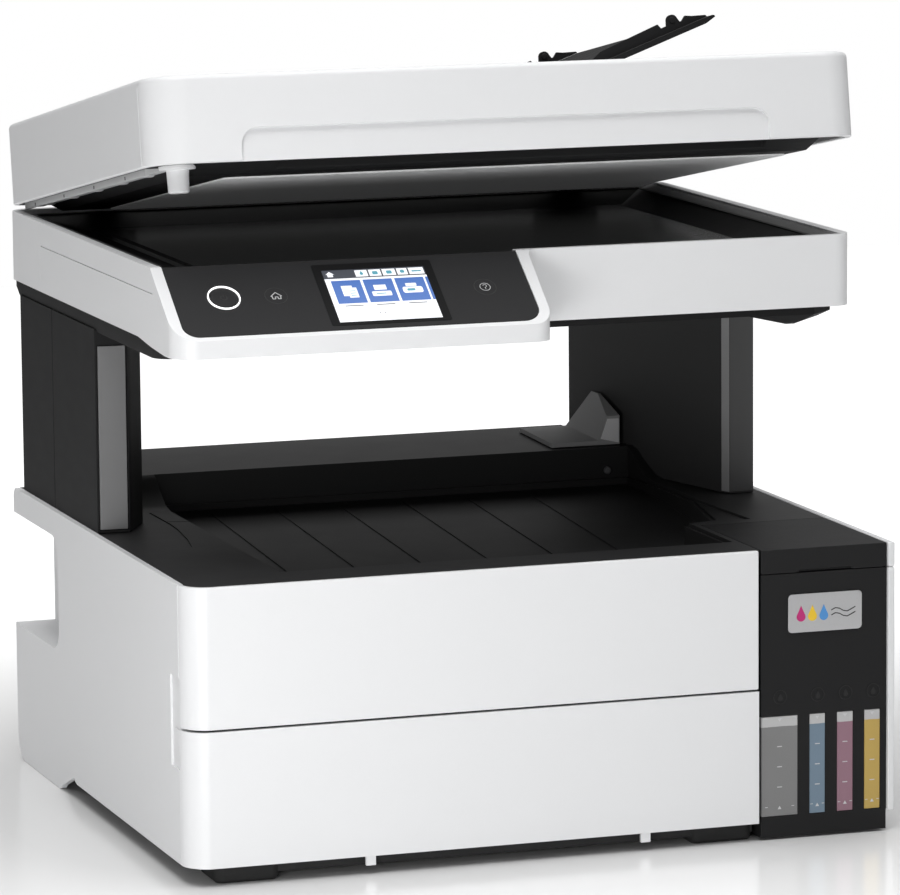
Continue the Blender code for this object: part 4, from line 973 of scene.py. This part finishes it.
def build_control_panel():
    left, low, right, high = SCREEN
    hole = box((left - GAP, low - GAP, -0.0012), (right + GAP, high + GAP, 0.01))
    piece("panel_face", prism(panel_plan(0, 0.0385), "z", -0.0022, -0.0001), "base",
          "panel_black", SLOPE, instead_of=["control_panel"], edge=0.0003,
          cuts=[hole, rod("z", POWER, 0.0086, -0.0030, 0.01, 64)])
    surround = rounded(left - 0.0045, low - 0.0022, right + 0.0045, high + 0.0045, (0.0012,) * 4, 5)
    piece("screen_surround", prism(surround, "z", -0.0001, 0.00006), "base", "gloss_black", SLOPE,
          cuts=[box((left, low, -0.01), (right, high, 0.01))])
    piece("display_glass", box((left, low, -0.0009), (right, high, 0.0001)), "base", "screen_dark",
          SLOPE, instead_of=["touch_screen"])
    bar = high - 0.0063
    screen_part("display_page", [tile(left, low, right, bar, 0)], "screen_white")
    width = 0.0151
    starts = [left + 0.0028 + index * (width + 0.0014) for index in range(3)]
    tiles = [tile(x, low + 0.0132, x + width, bar - 0.0016, 1) for x in starts]
    tiles.append(tile(right - 0.0013, low + 0.0132, right, bar - 0.0016, 1))
    screen_part("display_tiles", tiles, "screen_blue")
    marks = [tile(x + 0.0028, low + 0.0112, x + width - 0.0028, low + 0.0117, 1) for x in starts]
    marks += [tile(left + a, low + 0.0050, left + b, low + 0.0056, 1)
              for a, b in ((0.022, 0.0226), (0.0246, 0.0252))]
    screen_part("display_captions", marks, "screen_dark")
    badges = [tile(left + a, bar + 0.0008, end, high - 0.0008, 0)
              for a, end in ((0.0168, left + 0.0232), (0.0240, left + 0.0302),
                             (0.0310, left + 0.0378), (0.0386, left + 0.0440),
                             (0.0448, right - 0.0006))]
    house = [(-0.0022, 0), (0, 0.0021), (0.0022, 0), (0.0014, 0), (0.0014, -0.0018),
             (-0.0014, -0.0018), (-0.0014, 0)]
    centre = (bar + high) / 2
    roof = [(left + 0.0036 + u, centre + v) for u, v in house]
    badges.append(prism(roof, "z", 0.00012, 0.0002))
    screen_part("display_badges", badges, "screen_white")
    glyphs = [prism(drop((left + 0.0200, centre - 0.0003), 0.0009, 0.0010), "z", 0.0002, 0.00026)]
    for x in (left + 0.0271, left + 0.0344):
        glyphs.append(tile(x - 0.0014, bar + 0.0019, x + 0.0014, high - 0.0021, 1, 0.0005))
    glyphs.append(moved(tile(-0.0011, -0.0011, 0.0011, 0.0011, 1, 0.0008),
                        Matrix.Translation((left + 0.0413, centre, 0))))
    glyphs.append(tile(left + 0.0462, bar + 0.0026, right - 0.0020, high - 0.0028, 1, 0.0004))
    screen_part("display_glyphs", glyphs, "screen_teal")
    middle = low + 0.0132 + (bar - 0.0016 - low - 0.0132) / 2
    a, b, c = [x + width / 2 for x in starts]
    pages = [tile(a - 0.0034, middle - 0.0030, a + 0.0022, middle + 0.0044, 2),
             tile(a - 0.0006, middle - 0.0044, a + 0.0042, middle + 0.0028, 3),
             tile(b - 0.0050, middle - 0.0040, b + 0.0050, middle - 0.0006, 2, 0.0006),
             tile(b - 0.0032, middle + 0.0004, b + 0.0032, middle + 0.0040, 2),
             tile(c - 0.0052, middle - 0.0028, c + 0.0052, middle + 0.0016, 2, 0.0012),
             tile(c - 0.0030, middle + 0.0020, c + 0.0026, middle + 0.0042, 2)]
    screen_part("display_icons", pages, "screen_white")
    lines = [tile(a + 0.0004, middle - 0.0030 + 0.0016 * row,
                  a + 0.0032, middle - 0.0026 + 0.0016 * row, 4) for row in range(3)]
    lines += [tile(b - 0.0030, middle - 0.0026, b + 0.0022, middle - 0.0021, 4),
              tile(c - 0.0030, middle - 0.0014, c + 0.0012, middle + 0.0002, 4, 0.0006)]
    screen_part("display_icon_lines", lines, "screen_teal")

    piece("power_dish", ring(POWER, 0.0085, 0.0068, -0.0020, -0.0006), "base", "panel_black", SLOPE)
    profile = [(0.0001, -0.0002), (0.0058, -0.0002), (0.0066, -0.0004), (0.0066, -0.0012)]
    piece("power_key", lathe("z", POWER, profile, 64), "power_button", "panel_black", SLOPE,
          instead_of=["power_button"])
    piece("power_halo", ring(POWER, 0.0083, 0.00765, -0.0006, 0.00012), "base", "lamp", SLOPE)
    u, v = POWER
    stem = [box((u - 0.0002, v + 0.0004, -0.0002), (u + 0.0002, v + 0.0019, -0.00013)),
            arc_band(POWER, 0.0016, 0.0003, 125, 415, -0.0002, -0.00013)]
    piece("power_sign", join_shapes(stem), "power_button", "print_dark", SLOPE)
    for name, spot in (("home", HOME), ("help", HELP)):
        piece(name + "_ring", ring(spot, 0.0058, 0.0055, -0.00012, -0.00004), "base",
              "print_dark", SLOPE)
    print_low, print_high = -0.0001, -0.00003
    path = [(HOME[0] + du, HOME[1] - 0.0003 + dv) for du, dv in (
        (-0.0021, -0.0001), (-0.0028, -0.0001), (0, 0.0026), (0.0028, -0.0001),
        (0.0021, -0.0001), (0.0021, -0.0020), (0.0007, -0.0020), (0.0007, -0.0006),
        (-0.0007, -0.0006), (-0.0007, -0.0020), (-0.0021, -0.0020), (-0.0021, -0.0001))]
    strokes = [prism(ribbon([first, second], 0.00045), "z", print_low, print_high)
               for first, second in zip(path, path[1:])]
    piece("home_sign", join_shapes(strokes), "base", "print_white", SLOPE)
    u, v = HELP
    hook = [arc_band((u, v + 0.0007), 0.0009, 0.0003, -60, 170, print_low, print_high),
            box((u - 0.0002, v - 0.0010, print_low), (u + 0.0002, v - 0.0002, print_high)),
            box((u - 0.0002, v - 0.0018, print_low), (u + 0.0002, v - 0.0014, print_high)),
            ring(HELP, 0.0028, 0.0025, print_low, print_high)]
    piece("help_sign", join_shapes(hook), "base", "print_white", SLOPE)


def arc_band(centre, radius, width, start, end, low, high):
    outer = arc(centre, radius + width / 2, start, end, 24)
    inner = arc(centre, radius - width / 2, end, start, 24)
    return prism(outer + inner, "z", low, high)


# ---- lid and document feeder ----
LID_LOW, LID_TOP, LID_FRONT, LID_REAR = 0.3022, 0.3459, 0.041, 0.335
LID_CORNERS = (0.020, 0.017, 0.010, 0.010)
FEEDER = (0.030, 0.098, 0.262, 0.312)
DRUM = (0.118, 0.3362)


def build_lid():
    left, front, right, rear = FEEDER
    body = slab(0, LID_FRONT, WIDTH, LID_REAR, LID_CORNERS, LID_LOW, LID_TOP, 0.0030, 0.0006, 16)
    inner = inset(0, LID_FRONT, WIDTH, LID_REAR, LID_CORNERS, WALL, 16)
    grip = rounded(0.046, 0.29, 0.325, LID_LOW + 0.0165, (0, 0, 0.0085, 0.0085), 12)
    seam = box((-0.001, 0.0616, 0.29), (0.0010, 0.0622, LID_TOP - 0.004))
    piece("lid_cover", body, "lid", "white", LID, instead_of=["lid_shell"],
          cuts=[prism(inner, "z", 0.2, LID_TOP - WALL), box((left, front, 0.3), (right, rear, 0.4)),
                prism(grip, "y", 0, LID_FRONT + 0.0022), seam], edge=0.0007, turn_limit=50)
    plate = inset(0, LID_FRONT, WIDTH, LID_REAR, LID_CORNERS, WALL + 0.0006, 16)
    rim = inset(0, LID_FRONT, WIDTH, LID_REAR, LID_CORNERS, WALL + 0.0136, 16)
    piece("lid_rim", prism(plate, "z", LID_LOW + 0.0006, LID_LOW + 0.0030), "lid",
          "charcoal_fine", LID, instead_of=["lid_underside"], edge=0.0005,
          cuts=[prism(rim, "z", 0.29, 0.32)])
    raised = [(0.0160, 0.0580), (0.3600, 0.0580), (0.3600, 0.3250), (0.0160, 0.3250)]
    low_raised = [(0.0250, 0.0700), (0.3560, 0.0700), (0.3560, 0.3205), (0.0250, 0.3205)]
    piece("lid_lining", loft([(low_raised, LID_LOW - 0.0046), (raised, LID_LOW + 0.0014),
                              (raised, LID_LOW + 0.0030)]), "lid", "charcoal_fine", LID,
          instead_of=["lid_underside"], edge=0.0006,
          cuts=[box((0.070, 0.0600, 0.29), (0.330, 0.0660, LID_LOW + 0.0020))])
    skirt = [(0.0064, LID_LOW + 0.0014), (0.0064, LID_LOW - 0.0028), (0.0080, LID_LOW - 0.0028),
             (0.0092, LID_LOW - 0.0018), (0.0170, LID_LOW - 0.0014), (0.0170, LID_LOW + 0.0014)]
    piece("lid_skirt", prism(skirt, "y", 0.0800, 0.3270), "lid", "ash", LID,
          instead_of=["lid_underside"], edge=0.0003)
    pad = lathe("z", (0, 0), [(0.0001, -0.0010), (0.0026, -0.0009), (0.0034, -0.0004),
                              (0.0036, 0.0006)], 24)
    repeated("lid_bumps", pad, 5, (0.0132, 0.1000, LID_LOW - 0.0014), (0, 0.050, 0), "lid", "ash",
             LID)
    # Painted shade: dark discs on the skirt stand for the shade inside its screw holes, which are not cut.
    socket = lathe("x", (0, 0), [(0.0001, 0.0003), (0.0005, -0.0001), (0.0009, -0.0001),
                                 (0.0010, 0.0004)], 20)
    repeated("lid_screw_holes", socket, 4, (0.0064, 0.1180, LID_LOW - 0.0013), (0, 0.062, 0), "lid",
             "rubber", LID)
    sheet = slab(0.050, 0.090, 0.353, 0.316, (0.004,) * 4, LID_LOW - 0.0054, LID_LOW - 0.0045,
                 0.0002, 0.0003)
    piece("mat_sheet", sheet, "lid", "mat", LID, instead_of=["document_mat"])
    peg = [(0.0001, LID_LOW - 0.0130), (0.0045, LID_LOW - 0.0130), (0.0053, LID_LOW - 0.0122),
           (0.0056, LID_LOW - 0.0030), (0.0058, LID_LOW - 0.0016), (0.0088, LID_LOW - 0.0014),
           (0.0094, LID_LOW - 0.0006), (0.0094, LID_LOW + 0.0010), (0.0001, LID_LOW + 0.0010)]
    piece("lid_peg", lathe("z", PEG, peg, 48), "lid", "white", LID, instead_of=["lid_underside"])
    for side, x in HINGES:
        y, z = LID_HINGE.y, LID_HINGE.z
        a, b = x + 0.0085, x + 0.0275
        piece("hinge_knuckle_" + side, rod("x", (y, z), 0.0030, a, b, 32), "lid", "charcoal", LID,
              instead_of=["lid_hinge_" + side], edge=0.0003,
              adds=[box((a, 0.3353, z), (b, y, z + 0.0030)),
                    box((a, 0.3353, z), (b, 0.338, 0.322))])


def build_feeder():
    left, front, right, rear = FEEDER
    floor = 0.330
    well = box((left + GAP, front + GAP, floor - 0.003), (right - GAP, rear - GAP, LID_TOP - GAP))
    piece("feeder_well", well, "lid", "charcoal", LID, instead_of=["feeder_tray"], edge=0.0005,
          cuts=[box((left + 0.002, front + 0.002, floor), (right - 0.002, rear - 0.002, 0.4))])
    rib = box((0, 0, 0), (0.088, 0.0012, 0.0016))
    repeated("feeder_ribs", rib, 9, (0.158, front + 0.012, floor), (0, 0.0228, 0), "lid",
             "charcoal", LID)
    piece("feed_drum", rod("y", DRUM, 0.0056, 0.170, 0.240, 40), "feeder_roller", "rubber", LID,
          instead_of=["feeder_roller"], edge=0.0005,
          cuts=[rod("y", DRUM, 0.0075, 0.198, 0.212, 40)],
          adds=[rod("y", DRUM, 0.0030, 0.165, 0.245, 24)])
    high, hinge, curl = LID_TOP, (0.0345, 0.3438), 0.0021
    inside = high - 0.0026
    edge_x = hinge[0] - curl
    lead = arc(hinge, curl, 90, 180, 10)
    lead += [(edge_x, 0.336), (edge_x + WALL, 0.336), (edge_x + WALL, inside), (0.147, inside),
             (0.147, high - 0.006), (0.150, high - 0.006)]
    lead += arc((0.148, high - 0.002), 0.002, 0, 90, 6)
    grooves = [box((0.052 + 0.030 * index, front + 0.012, high - 0.0006),
                   (0.0532 + 0.030 * index, rear - 0.012, high + 0.01)) for index in range(3)]
    piece("feeder_lid", prism(lead, "y", front + 0.0023, rear - 0.0023), "feeder_cover", "white",
          LID, instead_of=["feeder_cover"], edge=0.0004, cuts=grooves)

    x, z = TRAY_HINGE.x, TRAY_HINGE.z
    tip = x + 0.077
    blade = [(x, z - 0.0012), (tip - 0.006, z - 0.0012), (tip, z + 0.0002), (tip, z + 0.0010),
             (tip - 0.001, z + 0.0016), (x, z + 0.0016)]
    piece("tray_leaf", prism(blade, "y", front + 0.0025, rear - 0.0025), "input_tray",
          "charcoal_fine", TRAY, instead_of=["input_tray"], edge=0.0003,
          adds=[rod("y", (x, z), 0.0016, front + 0.0025, rear - 0.0025, 24)],
          cuts=[box((x + 0.018, front + 0.030 + 0.024 * index, z + 0.0010),
                    (tip - 0.010, front + 0.0312 + 0.024 * index, z + 0.01)) for index in range(7)])
    top = z + 0.0016 + GAP
    fence = [(x + 0.004, top), (x + 0.074, top), (x + 0.0735, top + 0.0010)]
    fence += [(x + 0.066, top + 0.0034), (x + 0.063, top + 0.0048), (x + 0.0605, top + 0.0030)]
    fence += [(x + 0.0590, top + 0.0030)] + arc((x + 0.0553, top + 0.0052), 0.0030, 0, 150, 8)
    fence += [(x + 0.0515, top + 0.0036), (x + 0.0480, top + 0.0036), (x + 0.0470, top + 0.0062),
              (x + 0.012, top + 0.0050), (x + 0.004, top + 0.0020)]
    for name, y in (("front", 0.1035), ("rear", 0.304)):
        turned = [(0.0001, y - 0.0006), (0.0015, y - 0.0006), (0.0018, y - 0.0002),
                  (0.0018, y + 0.0010)]
        knob = lathe("y", (x + 0.0553, top + 0.0052), turned, 24)
        piece("edge_fence_" + name, prism(fence, "y", y, y + 0.0022), "input_guide_" + name,
              "charcoal_fine", TRAY, instead_of=["input_guide_" + name], edge=0.0003, adds=[knob])


# ---- studio ----
AMBIENT = 0.21
CAMERA_PLACE = Vector((-0.91343, -2.74834, 0.62885))
CAMERA_AIM = Vector((-0.00034, -0.0235, 0.18769))
CAMERA_LENS, CAMERA_ROLL = 222.9, -0.5
LIT_POINT = Vector((0, 0, 0.2))
LIGHTS = (("key", (-0.46, -0.75, 0.04), 0.35, 3.6), ("top", (0.0, -0.2, 2.4), 2.4, 46.0),
          ("brow", (-0.8, -1.2, 2.2), 1.0, 11.0), ("right", (2.4, -0.6, 1.2), 1.6, 4.0),
          ("back", (0.3, 2.0, 2.2), 2.4, 10.0))


def build_studio():
    floor = piece_floor()
    camera_data = bpy.data.cameras.new("camera")
    camera = bpy.data.objects.new("camera", camera_data)
    bpy.context.collection.objects.link(camera)
    camera_data.sensor_width = 36.0
    camera_data.lens = CAMERA_LENS
    level = (CAMERA_AIM - CAMERA_PLACE).to_track_quat("-Z", "Y").to_matrix().to_4x4()
    roll = Matrix.Rotation(math.radians(CAMERA_ROLL), 4, "Z")
    camera.matrix_world = Matrix.Translation(CAMERA_PLACE) @ level @ roll
    camera_data.clip_end = 50.0
    bpy.context.scene.camera = camera

    for name, spot, size, power in LIGHTS:
        light_data = bpy.data.lights.new(name, "AREA")
        light_data.shape = "SQUARE"
        light_data.size = size
        light_data.energy = power
        light = bpy.data.objects.new(name, light_data)
        bpy.context.collection.objects.link(light)
        light.location = spot
        light.rotation_euler = (LIT_POINT - Vector(spot)).to_track_quat("-Z", "Y").to_euler()

    world = bpy.data.worlds.new("studio")
    world.use_nodes = True
    start = Wire(world.node_tree)
    seen = start.node("ShaderNodeLightPath", out="Is Camera Ray")
    sky = world.node_tree.nodes["Background"]
    sky.inputs["Color"].default_value = (1.0, 1.0, 1.0, 1.0)
    (AMBIENT + seen * (1 - AMBIENT)).feed(sky, "Strength")
    bpy.context.scene.world = world
    bpy.context.scene.view_settings.view_transform = "Standard"


def piece_floor():
    floor = link("floor", box((-4, -3, -0.02), (4, 2.2, -0.0002)))
    made, start, shader = new_material("pale_floor")
    place = start.node("ShaderNodeTexCoord", out="Object")
    cloud = noise(start, place, 3.0, 2.0)
    cloud.blend((0.90, 0.90, 0.90), (0.92, 0.92, 0.92)).feed(shader, "Base Color")
    # Painted light: for camera rays only, the floor glows more the farther it lies from the middle under the
    # printer, so it fades to white away from it.
    reach = start.node("ShaderNodeVectorMath", {"operation": "LENGTH"}, {0: place}, out="Value")
    painted_glow = start.node("ShaderNodeMapRange", None,
                      {"Value": reach, "From Min": 0.24, "From Max": 0.70})
    seen = start.node("ShaderNodeLightPath", out="Is Camera Ray")
    (painted_glow * seen).blend((0, 0, 0), (0.70, 0.70, 0.70)).feed(shader, "Emission Color")
    shader.inputs["Emission Strength"].default_value = 1.0
    shader.inputs["Roughness"].default_value = 0.16
    floor.data.materials.append(made)
    return floor


build_studio()
finish_kept_nodes()
build_front()
build_sides()
build_deck()
build_columns()
build_sheet_stop()
build_underneath()
build_rear()
build_tanks()
build_tank_cover()
build_scanner()
build_bed()
build_control_panel()
build_lid()
build_feeder()
